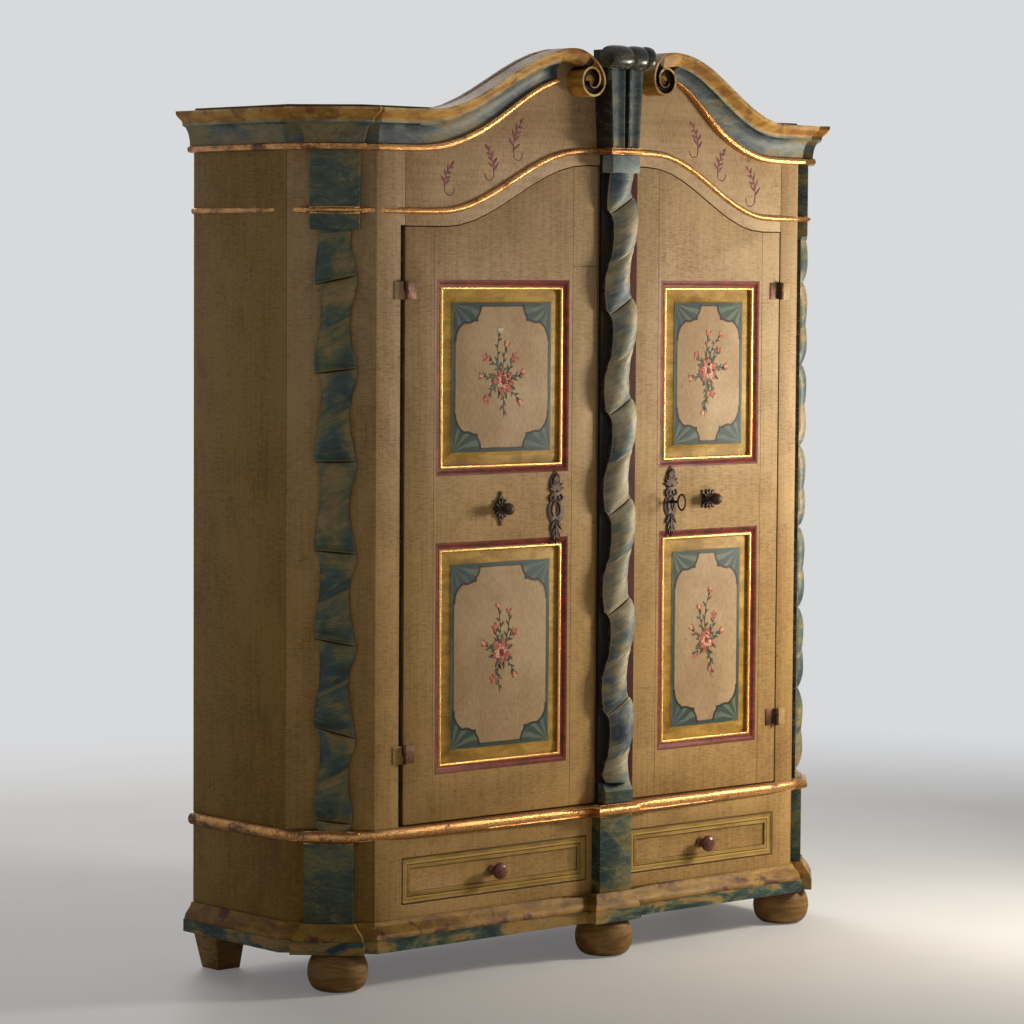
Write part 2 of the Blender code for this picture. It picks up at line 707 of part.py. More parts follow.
def make_cornice(side, name):
    """One half of the cornice: along the side, round the corner block and up the swan neck."""
    section = cornice_section()
    joint = scroll_joint_x(side)
    span = sorted((side * FRONT_HALF, joint))
    places = [x for x in curve_places(*span, CORNICE_REACH) if x != side * FRONT_HALF]
    if side > 0:
        places = places[::-1]
    curve = [curved_section(x, cornice_height, neck_section(side, x, section)) for x in places]
    curve[-1] = [(joint, y, z) for x, y, z in curve[-1]]
    bm = bmesh.new()
    add_rings(bm, corner_rings(side, section, CORNICE_TOP_Z, CORNER_BLOCK_SHIFT) + curve)
    place(name, bm, "ochre_paint")


def scroll_rows(side):
    """Outer and inner edge of the scroll's ribbon, seen from the front, from its arm to its eye."""
    eye = scroll_eye(side)
    turns = (len(SCROLL_SHARES) - 1) / SCROLL_SHARE_STEPS
    joint = scroll_joint_x(side) - side * SEAT_GAP
    top = cornice_height(joint)
    start = Vector((joint, top - FASCIA_HEIGHT))
    rows = []
    for i in range(SCROLL_ARM_STEPS + int(turns * SCROLL_STEPS) + 1):
        turn = (i - SCROLL_ARM_STEPS) / SCROLL_STEPS
        spoke = scroll_spoke(side, turn)
        inner = eye + spoke * scroll_radius(side, min(turn + 1, turns))
        if i < SCROLL_LEAD_STEPS:
            last_turn = (SCROLL_LEAD_STEPS - SCROLL_ARM_STEPS) / SCROLL_STEPS
            last = eye + scroll_spoke(side, last_turn) * scroll_radius(side, last_turn + 1)
            inner = start + (last - start) * (i / SCROLL_LEAD_STEPS)
        rows.append((eye + spoke * scroll_radius(side, turn), inner))
    rows[0] = (Vector((joint, top)), start)
    return rows


def add_scroll_front(bm, rows):
    """The ribbon's carved face: rim, ledge, channel and foot lines, which grow out of the fascia."""
    lines = []
    for i, (outer, inner) in enumerate(rows):
        share = min(i / SCROLL_ARM_STEPS, 1)
        rim_y = FRONT_Y - CORNICE_OUT - (SCROLL_OUT - CORNICE_OUT) * share
        sunk_y = rim_y + SCROLL_RECESS * share
        foot_y = sunk_y + (CORNICE_OUT - FASCIA_FOOT_OUT) * (1 - share)
        ledge = outer + (inner - outer).normalized() * min(
            SCROLL_RIM, (inner - outer).length * SCROLL_LEDGE_SHARE)
        lines.append([bm.verts.new((outer.x, rim_y, outer.y)), bm.verts.new((ledge.x, rim_y, ledge.y)),
                      bm.verts.new((ledge.x, sunk_y, ledge.y)), bm.verts.new((inner.x, foot_y, inner.y))])
    for first, last in zip(lines, lines[1:]):
        for i in range(3):
            bm.faces.new((first[i], last[i], last[i + 1], first[i + 1]))
    return lines


def make_scroll(side, name):
    """A carved volute: a raised rim winds inwards over a sunk channel to a round eye."""
    rows = scroll_rows(side)
    lead = SCROLL_LEAD_STEPS
    bm = bmesh.new()
    lines = add_scroll_front(bm, rows)
    rims = [line[0] for line in lines]
    feet = [line[3] for line in lines]
    # the foot of the channel meets the rim of the next turn in
    for i in range(lead, len(rows) - 1 - SCROLL_STEPS):
        bm.faces.new((feet[i], feet[i + 1], rims[i + 1 + SCROLL_STEPS], rims[i + SCROLL_STEPS]))
    # the outer wall runs along the arm and round the first turn
    wall = rims[:lead + SCROLL_STEPS + 1]
    back = [bm.verts.new((v.co.x, FRONT_Y - SEAT_GAP, v.co.z)) for v in wall]
    for i in range(len(wall) - 2):
        bm.faces.new((wall[i], wall[i + 1], back[i + 1], back[i]))
    bm.faces.new((wall[-2], wall[-1], feet[lead], back[-1], back[-2]))
    # the underside of the arm, the cut end and the back
    under = feet[:lead + 1]
    under_back = [bm.verts.new((v.co.x, FRONT_Y - SEAT_GAP, v.co.z)) for v in under[:-1]] + [back[-1]]
    for i in range(lead):
        bm.faces.new((under[i], under[i + 1], under_back[i + 1], under_back[i]))
    bm.faces.new(lines[0] + [under_back[0], back[0]])
    bm.faces.new(back + under_back[-2::-1])
    # the eye is a low button
    ring = feet[-SCROLL_STEPS - 1:]
    eye = scroll_eye(side)
    button = bm.verts.new((eye.x, FRONT_Y - SCROLL_EYE_OUT, eye.y))
    for first, last in zip(ring, ring[1:]):
        bm.faces.new((first, last, button))
    bmesh.ops.remove_doubles(bm, verts=bm.verts[:], dist=MERGE_DISTANCE)
    place(name, bm, "ochre_paint")


def console_ring(half, front, z):
    """The fluted front of the console between its flat sides, seen from above."""
    back = FRONT_Y - SEAT_GAP
    flutes = [(CONSOLE_X + half * across, front + FLUTE_DEPTH * sink, z) for across, sink in CONSOLE_SHARES]
    return [(CONSOLE_X - half, back, z)] + flutes + [(CONSOLE_X + half, back, z)]


def make_console():
    """The fluted console, from the foot behind the bead to the block behind its roll."""
    foot_top = CONSOLE_BOTTOM_Z + 2 * BEAD_RADIUS + SEAT_GAP
    foot_half = CONSOLE_BOTTOM_WIDTH / 2
    foot_front = FRONT_Y - CONSOLE_BOTTOM_OUT
    rings = [console_ring(foot_half, foot_front, CONSOLE_BOTTOM_Z)]
    for i in range(CONSOLE_ROWS + 1):
        share = i / CONSOLE_ROWS
        half = foot_half + (CONSOLE_TOP_WIDTH / 2 - foot_half) * share
        front = foot_front - (CONSOLE_TOP_OUT - CONSOLE_BOTTOM_OUT) * share
        rings.append(console_ring(half, front, foot_top + (CONSOLE_TOP_Z - foot_top) * share))
    behind = FRONT_Y - ROLL_OUT + ROLL_RADIUS + SEAT_GAP
    for z in (CONSOLE_TOP_Z, ROLL_BLOCK_TOP_Z):
        rings.append(console_ring(ROLL_BLOCK_WIDTH / 2, behind, z))
    bm = bmesh.new()
    add_rings(bm, rings)
    place("console", bm, "marbled_paint")


def make_console_roll():
    """A turned roll with ring lobes, which lies across the console's top."""
    start = -ROLL_WIDTH / 2
    profile = [(0, start), (ROLL_NECK_RADIUS, start)]
    for share in ROLL_LOBE_SHARES:
        for i in range(1, ROLL_LOBE_STEPS + 1):
            bulge = math.sin(math.pi * i / ROLL_LOBE_STEPS) ** TWIST_ROUNDNESS
            profile.append((ROLL_NECK_RADIUS + (ROLL_RADIUS - ROLL_NECK_RADIUS) * bulge,
                            start + ROLL_WIDTH * share * i / ROLL_LOBE_STEPS))
        start += ROLL_WIDTH * share
    profile.append((0, start))
    roll_z = CONSOLE_TOP_Z + SEAT_GAP + ROLL_RADIUS
    bm = bmesh.new()
    add_turned(bm, profile, (CONSOLE_X, FRONT_Y - ROLL_OUT, roll_z), (1, 0, 0), ROLL_SIDES)
    place("console_roll", bm, "marbled_paint")


# The case
def make_side(side, name):
    """An upright side board, mitred where it meets the canted corner."""
    outer, inner = case_outline(0), case_outline(CASE_BOARD)
    back, front = (0, 1) if side < 0 else (5, 4)
    bm = bmesh.new()
    add_plan(bm, [outer[back], outer[front], inner[front], inner[back]], (SPLIT_Z, WALL_TOP_Z))
    place(name, bm, "painted_wood")


def make_front_post(side, name, door_x):
    """The canted board and the narrow stile beside the door."""
    outer, inner = case_outline(0), case_outline(CASE_BOARD)
    deep, near = (1, 2) if side < 0 else (4, 3)
    start = Vector(outer[deep])
    hair = (Vector(outer[near]) - start).normalized() * SEAT_GAP
    outline = [start + hair, outer[near], (door_x, outer[near][1]), (door_x, inner[near][1]), inner[near],
               Vector(inner[deep]) + hair]
    bm = bmesh.new()
    add_plan(bm, outline, (SPLIT_Z, WALL_TOP_Z))
    place(name, bm, "painted_wood")


def make_base_side(side, name):
    """One side of the base with its canted corner and the pedestal on it."""
    outer, inner = case_outline(0), case_outline(BASE_BOARD)
    back, deep, near = (0, 1, 2) if side < 0 else (5, 4, 3)
    middle, along, normal = corner_frame(side)
    half, out = along * CORNER_BLOCK_WIDTH / 2, normal * CORNER_BLOCK_OUT
    hair = along * SEAT_GAP
    outline = [outer[back], outer[deep], middle - half, middle - half + out, middle + half + out,
               middle + half, Vector(outer[near]) - hair, Vector(inner[near]) - hair, inner[deep],
               inner[back]]
    bm = bmesh.new()
    add_plan(bm, outline, (PLINTH_BOTTOM_Z, SPLIT_Z - SEAT_GAP))
    place(name, bm, "painted_wood")


def crest_edge(side):
    """The frieze's upper edge behind one scroll, from its arm towards the console."""
    eye = scroll_eye(side)
    points = []
    for i in range(1, SCROLL_BOARD_STEPS + 1):
        turn = (i - SCROLL_ARM_STEPS) / SCROLL_STEPS
        point = eye + scroll_spoke(side, turn) * (scroll_radius(side, turn) - SCROLL_BOARD_INSET)
        points.append((point.x, point.y))
    return points + [(points[-1][0], CREST_BOARD_Z)]


def make_frieze():
    """The board over the doors: arched below and cut to the swan neck above."""
    x0, x1 = LEFT_DOOR_X + SEAT_GAP, RIGHT_DOOR_X - SEAT_GAP
    under = [(x, arch_height(x)) for x in curve_places(x0, x1, BEAD_REACH, ARCH_STEP_IN)]
    west = [(x, cornice_height(x)) for x in curve_places(x0, scroll_joint_x(-1), CORNICE_REACH)]
    east = [(x, cornice_height(x)) for x in curve_places(scroll_joint_x(1), x1, CORNICE_REACH)]
    over = west + crest_edge(-1) + crest_edge(1)[::-1] + east
    bm = bmesh.new()
    add_front(bm, under + over[::-1], (FRONT_Y, FRONT_Y + CASE_BOARD))
    place("frieze", bm, "painted_wood")


def make_back():
    """The back of the upper case, grooved where its boards meet, and the back of the base."""
    inner = HALF_WIDTH - CASE_BOARD - SEAT_GAP
    outline = [(-inner, BACK_Y - BACK_BOARD), (inner, BACK_Y - BACK_BOARD), (inner, BACK_Y)]
    for i in range(1, BACK_BOARD_COUNT):
        x = inner - 2 * inner * i / BACK_BOARD_COUNT
        outline += [(x + BACK_GROOVE, BACK_Y), (x, BACK_Y - BACK_GROOVE), (x - BACK_GROOVE, BACK_Y)]
    bm = bmesh.new()
    add_plan(bm, outline + [(-inner, BACK_Y)], (SPLIT_Z, WALL_TOP_Z))
    place("back_panel", bm, "plain_wood")
    inner = HALF_WIDTH - BASE_BOARD - SEAT_GAP
    bm = bmesh.new()
    add_box(bm, (-inner, inner), (BACK_Y - BACK_BOARD, BACK_Y), (PLINTH_BOTTOM_Z, SPLIT_Z - SEAT_GAP))
    place("base_back", bm, "plain_wood")


def inside_outline(board, front_y, back=0):
    """A shelf's outline inside walls of the given board, with the back boards behind it."""
    outline = case_outline(board + SEAT_GAP, front_y)
    back_y = BACK_Y - BACK_BOARD - SEAT_GAP - back
    return [(outline[0][0], back_y)] + outline[1:5] + [(outline[5][0], back_y)]


def make_levels():
    """The boards that lie flat: the case floor, the hat shelf and the roof."""
    front = DOOR_BACK_Y + 2 * SEAT_GAP
    outline = inside_outline(BASE_BOARD, front)
    half = DOOR_BOLT_WIDTH / 2 + BOLT_CLEARANCE
    notch = [(DOOR_BOLT_X - half, front), (DOOR_BOLT_X - half, front + FLOOR_NOTCH_DEPTH),
             (DOOR_BOLT_X + half, front + FLOOR_NOTCH_DEPTH), (DOOR_BOLT_X + half, front)]
    bm = bmesh.new()
    add_plan(bm, outline[:3] + notch + outline[3:], (FLOOR_TOP_Z - FLOOR_BOARD, FLOOR_TOP_Z))
    place("case_floor", bm, "plain_wood")
    bm = bmesh.new()
    shelf = inside_outline(CASE_BOARD, DOOR_BACK_Y + SHELF_FRONT_GAP)
    add_plan(bm, shelf, (SHELF_Z, SHELF_Z + SHELF_BOARD))
    place("hat_shelf", bm, "plain_wood")
    bm = bmesh.new()
    low = WALL_TOP_Z + SEAT_GAP
    add_plan(bm, case_outline(ROOF_INSET, FRONT_Y + CASE_BOARD + SEAT_GAP), (low, low + ROOF_BOARD))
    place("roof", bm, "plain_wood")


def make_clothes_rail():
    """The rail, with a turned flange at each end against the sides."""
    wall = HALF_WIDTH - CASE_BOARD - SEAT_GAP
    flange = wall - RAIL_FLANGE
    bm = bmesh.new()
    add_turned(bm, [(0, -wall), (RAIL_FLANGE_RADIUS, -wall), (RAIL_FLANGE_RADIUS, -flange),
                    (RAIL_RADIUS, -flange), (RAIL_RADIUS, flange), (RAIL_FLANGE_RADIUS, flange),
                    (RAIL_FLANGE_RADIUS, wall), (0, wall)],
               (0, (FRONT_Y + BACK_Y) / 2, RAIL_Z), (1, 0, 0), BUN_SIDES)
    place("clothes_rail", bm, "plain_wood")


def make_drawer_frame():
    """The front of the base with its centre pedestal, cut for the two drawers."""
    outer, inner = case_outline(0), case_outline(BASE_BOARD)
    half = PEDESTAL_WIDTH / 2
    proud = FRONT_Y - PEDESTAL_OUT
    left, right = (SEAT_GAP, 0), (-SEAT_GAP, 0)
    outline = [Vector(outer[2]) + Vector(left), (CREST_X - half, FRONT_Y), (CREST_X - half, proud),
               (CREST_X + half, proud), (CREST_X + half, FRONT_Y), Vector(outer[3]) + Vector(right),
               Vector(inner[3]) + Vector(right), Vector(inner[2]) + Vector(left)]
    bm = bmesh.new()
    add_plan(bm, outline, (PLINTH_BOTTOM_Z, SPLIT_Z - SEAT_GAP))
    frame = place("drawer_frame", bm, "painted_wood")
    for name, opening in (("left_opening_cutter", LEFT_DRAWER_X), ("right_opening_cutter", RIGHT_DRAWER_X)):
        bm = bmesh.new()
        add_box(bm, opening, (FRONT_Y - CUT_OVERRUN, FRONT_Y + BASE_BOARD + CUT_OVERRUN), DRAWER_Z)
        cut(frame, bm, name)


def drawer_box_x(x):
    """The sides of a drawer's box, clear of the posts beside it."""
    return x[0] + DRAWER_SIDE_GAP, x[1] - DRAWER_SIDE_GAP


def make_drawer_bed():
    """The bed of the base: a board with joists that carry the drawers and a fin between them."""
    joist_top = DRAWER_BOTTOM_Z - SEAT_GAP
    fin_top = FLOOR_TOP_Z - FLOOR_BOARD - SEAT_GAP
    floor = PLINTH_BOTTOM_Z + BASE_BOTTOM_BOARD
    middle = (LEFT_DRAWER_X[1] + RIGHT_DRAWER_X[0]) / 2
    ribs = []
    for opening in (LEFT_DRAWER_X, RIGHT_DRAWER_X):
        left, right = drawer_box_x(opening)
        ribs += [(left, left + RUNNER_WIDTH, joist_top), (right - RUNNER_WIDTH, right, joist_top)]
    ribs.insert(2, (middle - DIVIDER_BOARD / 2, middle + DIVIDER_BOARD / 2, fin_top))
    inner = HALF_WIDTH - BASE_BOARD - SEAT_GAP
    outline = [(inner, floor), (inner, PLINTH_BOTTOM_Z), (-inner, PLINTH_BOTTOM_Z), (-inner, floor)]
    for low, high, top in ribs:
        outline += [(low, floor), (low, top), (high, top), (high, floor)]
    front = FRONT_Y + BASE_BOARD + SEAT_GAP
    bm = bmesh.new()
    add_front(bm, outline, (front, BACK_Y - BACK_BOARD - SEAT_GAP))
    bed = place("drawer_bed", bm, "plain_wood")
    # the bed's front corners are cut off inside the canted walls
    wall = case_outline(BASE_BOARD + SEAT_GAP)
    ends = ((wall[2], wall[1], "left"), (wall[3], wall[4], "right"))
    for (near_x, near_y), (deep_x, deep_y), name in ends:
        outer = deep_x + math.copysign(CUT_OVERRUN, deep_x)
        past_y = deep_y + CUT_OVERRUN
        bm = bmesh.new()
        add_plan(bm, [(near_x, near_y - CUT_OVERRUN), (near_x, near_y), (deep_x, deep_y), (deep_x, past_y),
                      (outer, past_y), (outer, near_y - CUT_OVERRUN)],
                 (PLINTH_BOTTOM_Z - CUT_OVERRUN, fin_top))
        cut(bed, bm, f"bed_{name}_corner_cutter")


# Blocks, pilasters and feet
def twist_row(phase, calm, width, sway):
    """One row across a twist: pairs of (distance across, distance out)."""
    swing = math.sin(math.tau * phase) + SWAY_SECOND_SHARE * math.sin(2 * math.tau * phase)
    middle = sway * calm * swing / (1 + SWAY_SECOND_SHARE)
    half_turn = (2 * phase) % 2
    strength = 1 if half_turn < 1 else TWIST_WEAK_SHARE
    fullness = strength * math.sin(math.pi * (half_turn % 1)) ** TWIST_ROUNDNESS
    half = width / 2 * (1 - TWIST_NARROW_SHARE * (1 - fullness))
    row = [(middle - half, 0)]
    for share in TWIST_COLUMN_SHARES:
        crown = TWIST_EDGE_DEPTH + (TWIST_DEPTH - TWIST_EDGE_DEPTH) * (1 - EDGE_DROP_SHARE * share ** 2)
        crease = min(TWIST_CREASE_DEPTH, crown)
        row.append((middle + half * share, crease + (crown - crease) * fullness))
    return row + [(middle + half, 0)]


def twist_heights(low, high, pitch, level):
    """Heights of the rows, closely spaced and lined up with the creases."""
    step = pitch / TWIST_ROWS
    first = math.ceil((low + step / 2 - level) / step)
    last = math.floor((high - step / 2 - level) / step)
    return [low] + [level + step * i for i in range(first, last + 1)] + [high]


def twist_rings(origin, across, out, z, width, sway, pitch, level):
    """A flattened barley twist on a face: leaning lobes that sway from side to side."""
    rings = []
    for height in twist_heights(*z, pitch, level):
        calm = min(1, (height - z[0]) / TWIST_FADE, (z[1] - height) / TWIST_FADE)
        ring = []
        for u, d in twist_row((height - level) / pitch, calm, width, sway):
            point = origin + across * u + out * d
            ring.append((point.x, point.y, height + TWIST_LEAN * calm * u))
        rings.append(ring)
    return rings


def block_ring(origin, across, out, half, proud, z):
    """A ring of a square block, with as many points as a row of a twist."""
    places = [(-half, 0)] + [(half * share, proud) for share in TWIST_COLUMN_SHARES] + [(half, 0)]
    points = [origin + across * u + out * d for u, d in places]
    return [(point.x, point.y, z) for point in points]


def make_corner_pilaster(side, name):
    """A twisted pilaster on the canted corner, carved in one with its capital block."""
    middle, along, normal = corner_frame(side)
    across = Vector((-normal.y, normal.x))
    origin = middle + along * CORNER_BLOCK_SHIFT + normal * SEAT_GAP
    rings = twist_rings(origin, across, normal, (SPLIT_Z + SEAT_GAP, CAPITAL_BOTTOM_Z), **CORNER_TWIST)
    proud = CORNER_BLOCK_OUT - SEAT_GAP
    for z in (CAPITAL_BOTTOM_Z, CORNICE_TOP_Z - SEAT_GAP):
        rings.append(block_ring(origin, across, normal, CORNER_BLOCK_WIDTH / 2, proud, z))
    bm = bmesh.new()
    add_rings(bm, rings)
    place(name, bm, "marbled_paint")


def make_centre_pilaster(door):
    """The right door's pilaster, carved in one with its batten, base and capital block."""
    face = DOOR_Y - SEAT_GAP
    front = face - BATTEN_THICKNESS
    origin, across, out = Vector((PILASTER_X, front)), Vector((1, 0)), Vector((0, -1))
    base_half = CENTRE_BASE_WIDTH / 2
    base_out, neck_out = CENTRE_BASE_OUT - BATTEN_THICKNESS, CENTRE_BASE_NECK_OUT - BATTEN_THICKNESS
    block_x = BATTEN_X[0] + CENTRE_BLOCK_SET_IN + CENTRE_BLOCK_WIDTH / 2
    block_out = CENTRE_BLOCK_OUT - BATTEN_THICKNESS
    block = (Vector((block_x, front)), across, out, CENTRE_BLOCK_WIDTH / 2, block_out)
    low, high = CENTRE_TWIST_Z
    fronts = [block_ring(origin, across, out, base_half, base_out, DOOR_BOTTOM_Z),
              block_ring(origin, across, out, base_half, base_out, CENTRE_BASE_SPLIT_Z),
              block_ring(origin, across, out, base_half - CENTRE_BLOCK_SET_IN, neck_out, low)]
    fronts += twist_rings(origin, across, out, CENTRE_TWIST_Z, **CENTRE_TWIST)
    fronts += [block_ring(*block, high), block_ring(*block, BATTEN_TOP_Z)]
    rings = []
    for ring in fronts:
        first, last = ring[0], ring[-1]
        rings.append([(BATTEN_X[0], face, first[2]), (BATTEN_X[0], front, first[2])] + ring
                     + [(BATTEN_X[1], front, last[2]), (BATTEN_X[1], face, last[2])])
    # above the door the block stands before the frieze
    head = block_ring(*block, BATTEN_TOP_Z)
    x0, x1 = head[0][0] - CENTRE_BLOCK_SET_IN / 2, head[-1][0] + CENTRE_BLOCK_SET_IN / 2
    back = FRONT_Y - CENTRE_BLOCK_SET_IN
    for z in (BATTEN_TOP_Z, CENTRE_BLOCK_TOP_Z):
        head = block_ring(*block, z)
        rings.append([(x0, back, z), (x0, front, z)] + head + [(x1, front, z), (x1, back, z)])
    bm = bmesh.new()
    add_rings(bm, rings)
    place("pilaster_centre", bm, "marbled_paint", door)


def make_feet():
    spots = (("bun_foot_left", LEFT_FOOT_X, FRONT_Y + SIDE_FOOT_INSET),
             ("bun_foot_centre", CREST_X, FRONT_Y + CENTRE_FOOT_INSET),
             ("bun_foot_right", RIGHT_FOOT_X, FRONT_Y + SIDE_FOOT_INSET))
    height = PLINTH_BOTTOM_Z - SEAT_GAP
    profile = [(0, 0), (BUN_FOOT_RADIUS, 0)]
    for i in range(1, BUN_STEPS):
        angle = math.pi * i / BUN_STEPS
        base = BUN_FOOT_RADIUS + (BUN_NECK_RADIUS - BUN_FOOT_RADIUS) * i / BUN_STEPS
        profile.append((base + (BUN_RADIUS - base) * math.sin(angle), height * (1 - math.cos(angle)) / 2))
    profile += [(BUN_NECK_RADIUS, height), (0, height)]
    for name, x, y in spots:
        bm = bmesh.new()
        add_turned(bm, profile, (x, y, 0), (0, 0, 1), BUN_SIDES)
        place(name, bm, "plain_wood")
    for side, name in ((-1, "rear_foot_left"), (1, "rear_foot_right")):
        outer = side * (HALF_WIDTH - REAR_FOOT_INSET)
        back = BACK_Y - REAR_FOOT_INSET
        rings = []
        for z, width in ((0, REAR_FOOT_BOTTOM), (height, REAR_FOOT_TOP)):
            inner = outer - side * width
            rings.append([(outer, back, z), (inner, back, z), (inner, back - width, z),
                          (outer, back - width, z)])
        bm = bmesh.new()
        add_rings(bm, rings)
        place(name, bm, "plain_wood")


# Doors
def arched_outline(x0, x1, z0):
    """A board seen from the front, cut along the arch at its top."""
    curve = curve_places(x0, x1, BEAD_REACH, ARCH_STEP_IN)
    return [(x0, z0), (x1, z0)] + [(x, arch_height(x) - DOOR_GAP) for x in curve[::-1]]


def moulding_steps():
    """Section of the moulding round a panel, as (inset, depth behind the door's face)."""
    steps = [(0, -CUT_OVERRUN), (0, 0)]
    for i in range(1, OGEE_STEPS):
        share = i / OGEE_STEPS
        steps.append((MOULDING_RED_WIDTH * share, MOULDING_RED_DROP * ease(share)))
    radius = (MOULDING_WIDTH - MOULDING_RED_WIDTH) / 2
    for i in range(BEAD_STEPS + 1):
        angle = math.pi * i / BEAD_STEPS
        steps.append((MOULDING_RED_WIDTH + radius * (1 - math.cos(angle)),
                      MOULDING_RED_DROP - radius * math.sin(angle)))
    return steps + [(MOULDING_WIDTH, MOULDING_DEPTH), (0, MOULDING_DEPTH),
                    (0, DOOR_THICKNESS + CUT_OVERRUN)]


def make_door_frame(name, door, x, panel_x):
    """A framed leaf cut to the arch, with a moulding struck round each panel opening."""
    bm = bmesh.new()
    add_front(bm, arched_outline(*x, DOOR_BOTTOM_Z), (DOOR_Y, DOOR_BACK_Y))
    frame = place(name + "_frame", bm, "painted_wood", door)
    steps = [(inset, DOOR_Y + depth) for inset, depth in moulding_steps()]
    for level, z in PANEL_Z.items():
        bm = bmesh.new()
        add_stepped(bm, panel_x, z, steps)
        cut(frame, bm, f"{name}_{level}_opening_cutter")
    return frame


def make_door_panels(name, door, panel_x):
    """The fielded panels, which lie in the rebates behind the mouldings."""
    edge_y = DOOR_Y + MOULDING_DEPTH + SEAT_GAP
    field_y = edge_y - PANEL_RELIEF
    bevel_inset = MOULDING_WIDTH + BEVEL_MARGIN
    steps = [(SEAT_GAP, edge_y + PANEL_EDGE), (SEAT_GAP, edge_y), (bevel_inset, edge_y),
             (bevel_inset + BEVEL_WIDTH, field_y + FIELD_STEP),
             (bevel_inset + BEVEL_WIDTH + FIELD_STEP, field_y)]
    for level, z in PANEL_Z.items():
        bm = bmesh.new()
        add_stepped(bm, panel_x, z, steps)
        place(f"{name}_panel_{level}", bm, "panel_paint", door)


def add_knuckle_tube(bm, centre, radius, bore, z):
    """A hinge knuckle with a true bore, as a closed ring of sections."""
    rings = []
    for i in range(KNUCKLE_SIDES):
        angle = math.tau * i / KNUCKLE_SIDES
        spoke = Vector((math.cos(angle), math.sin(angle)))
        inner, outer = Vector(centre) + spoke * bore, Vector(centre) + spoke * radius
        rings.append([(inner.x, inner.y, z[0]), (outer.x, outer.y, z[0]),
                      (outer.x, outer.y, z[1]), (inner.x, inner.y, z[1])])
    add_rings(bm, rings, closed=True)


def add_hinge_leaf(bm, direction, axis_x, face, z):
    """A plate beside the knuckle, on the frame or on the door."""
    start = axis_x + direction * (KNUCKLE_RADIUS + SEAT_GAP)
    add_box(bm, sorted((start, start + direction * LEAF_WIDTH)),
            (face - SEAT_GAP - LEAF_THICKNESS, face - SEAT_GAP), z)


def add_hinge_neck(bm, direction, axis_x, face, z):
    """The short web that joins a plate to its knuckle."""
    add_box(bm, sorted((axis_x + direction * NECK_X[0], axis_x + direction * NECK_X[1])),
            (HINGE_Y + NECK_SET_BACK, face - SEAT_GAP), z)


def make_hinge(prefix, level, door, direction, z):
    """A lift-off hinge: the frame's knuckle carries the pin and the door's drops over it."""
    axis_x = door.location.x
    low, middle, high = z - HINGE_HEIGHT / 2, z, z + HINGE_HEIGHT / 2
    lower = (low, middle - KNUCKLE_GAP / 2)
    upper = (middle + KNUCKLE_GAP / 2, high)
    name = f"{prefix}_frame_hinge_{level}"
    bm = bmesh.new()
    add_hinge_leaf(bm, -direction, axis_x, FRONT_Y, (low, high))
    leaf = place(name, bm, "dark_iron")
    bm = bmesh.new()
    add_turned(bm, [(0, low), (KNUCKLE_RADIUS, low), (KNUCKLE_RADIUS, lower[1]),
                    (HINGE_PIN_RADIUS, lower[1]), (HINGE_PIN_RADIUS, high), (0, high)],
               (axis_x, HINGE_Y, 0), (0, 0, 1), KNUCKLE_SIDES)
    join(leaf, bm, name + "_pin")
    bm = bmesh.new()
    add_hinge_neck(bm, -direction, axis_x, FRONT_Y, lower)
    join(leaf, bm, name + "_neck")
    name = f"{prefix}_door_hinge_{level}"
    bm = bmesh.new()
    add_hinge_leaf(bm, direction, axis_x, DOOR_Y, (low, high))
    leaf = place(name, bm, "dark_iron", door)
    bm = bmesh.new()
    add_knuckle_tube(bm, (axis_x, HINGE_Y), KNUCKLE_RADIUS, HINGE_BORE_RADIUS, upper)
    join(leaf, bm, name + "_knuckle")
    bm = bmesh.new()
    add_hinge_neck(bm, direction, axis_x, DOOR_Y, upper)
    join(leaf, bm, name + "_neck")


# Door hardware
def mirrored_outline(x, z, width, height, shares):
    """An outline seen from the front from (height share, half-width share), mirrored about x."""
    right = [(x + width / 2 * across, z + height * up) for up, across in shares]
    left = [(x - width / 2 * across, z + height * up) for up, across in shares if across]
    return right + left[::-1]


def make_door_pull(name, door, x, shares):
    """A turned iron knob on its cut plate."""
    face = DOOR_Y - SEAT_GAP
    outline = mirrored_outline(x, KNOB_Z - ROSETTE_HEIGHT / 2, ROSETTE_WIDTH, ROSETTE_HEIGHT, shares)
    bm = bmesh.new()
    add_front(bm, outline, (face - ROSETTE_THICKNESS, face))
    plate = place(name, bm, "dark_iron", door)
    neck = ROSETTE_THICKNESS + KNOB_NECK + KNOB_RADIUS
    start = math.asin(KNOB_NECK_RADIUS / KNOB_RADIUS)
    profile = [(0, ROSETTE_THICKNESS / 2), (KNOB_FOOT_RADIUS, ROSETTE_THICKNESS / 2),
               (KNOB_FOOT_RADIUS, ROSETTE_THICKNESS + KNOB_FOOT),
               (KNOB_NECK_RADIUS, ROSETTE_THICKNESS + KNOB_NECK / 2)]
    for i in range(KNOB_STEPS):
        angle = start + (math.pi - start) * i / KNOB_STEPS
        profile.append((KNOB_RADIUS * math.sin(angle), neck - KNOB_RADIUS * math.cos(angle)))
    profile.append((0, neck + KNOB_RADIUS))
    bm = bmesh.new()
    add_turned(bm, profile, (x, face, KNOB_Z), (0, -1, 0), KNOB_SIDES)
    join(plate, bm, name + "_knob")


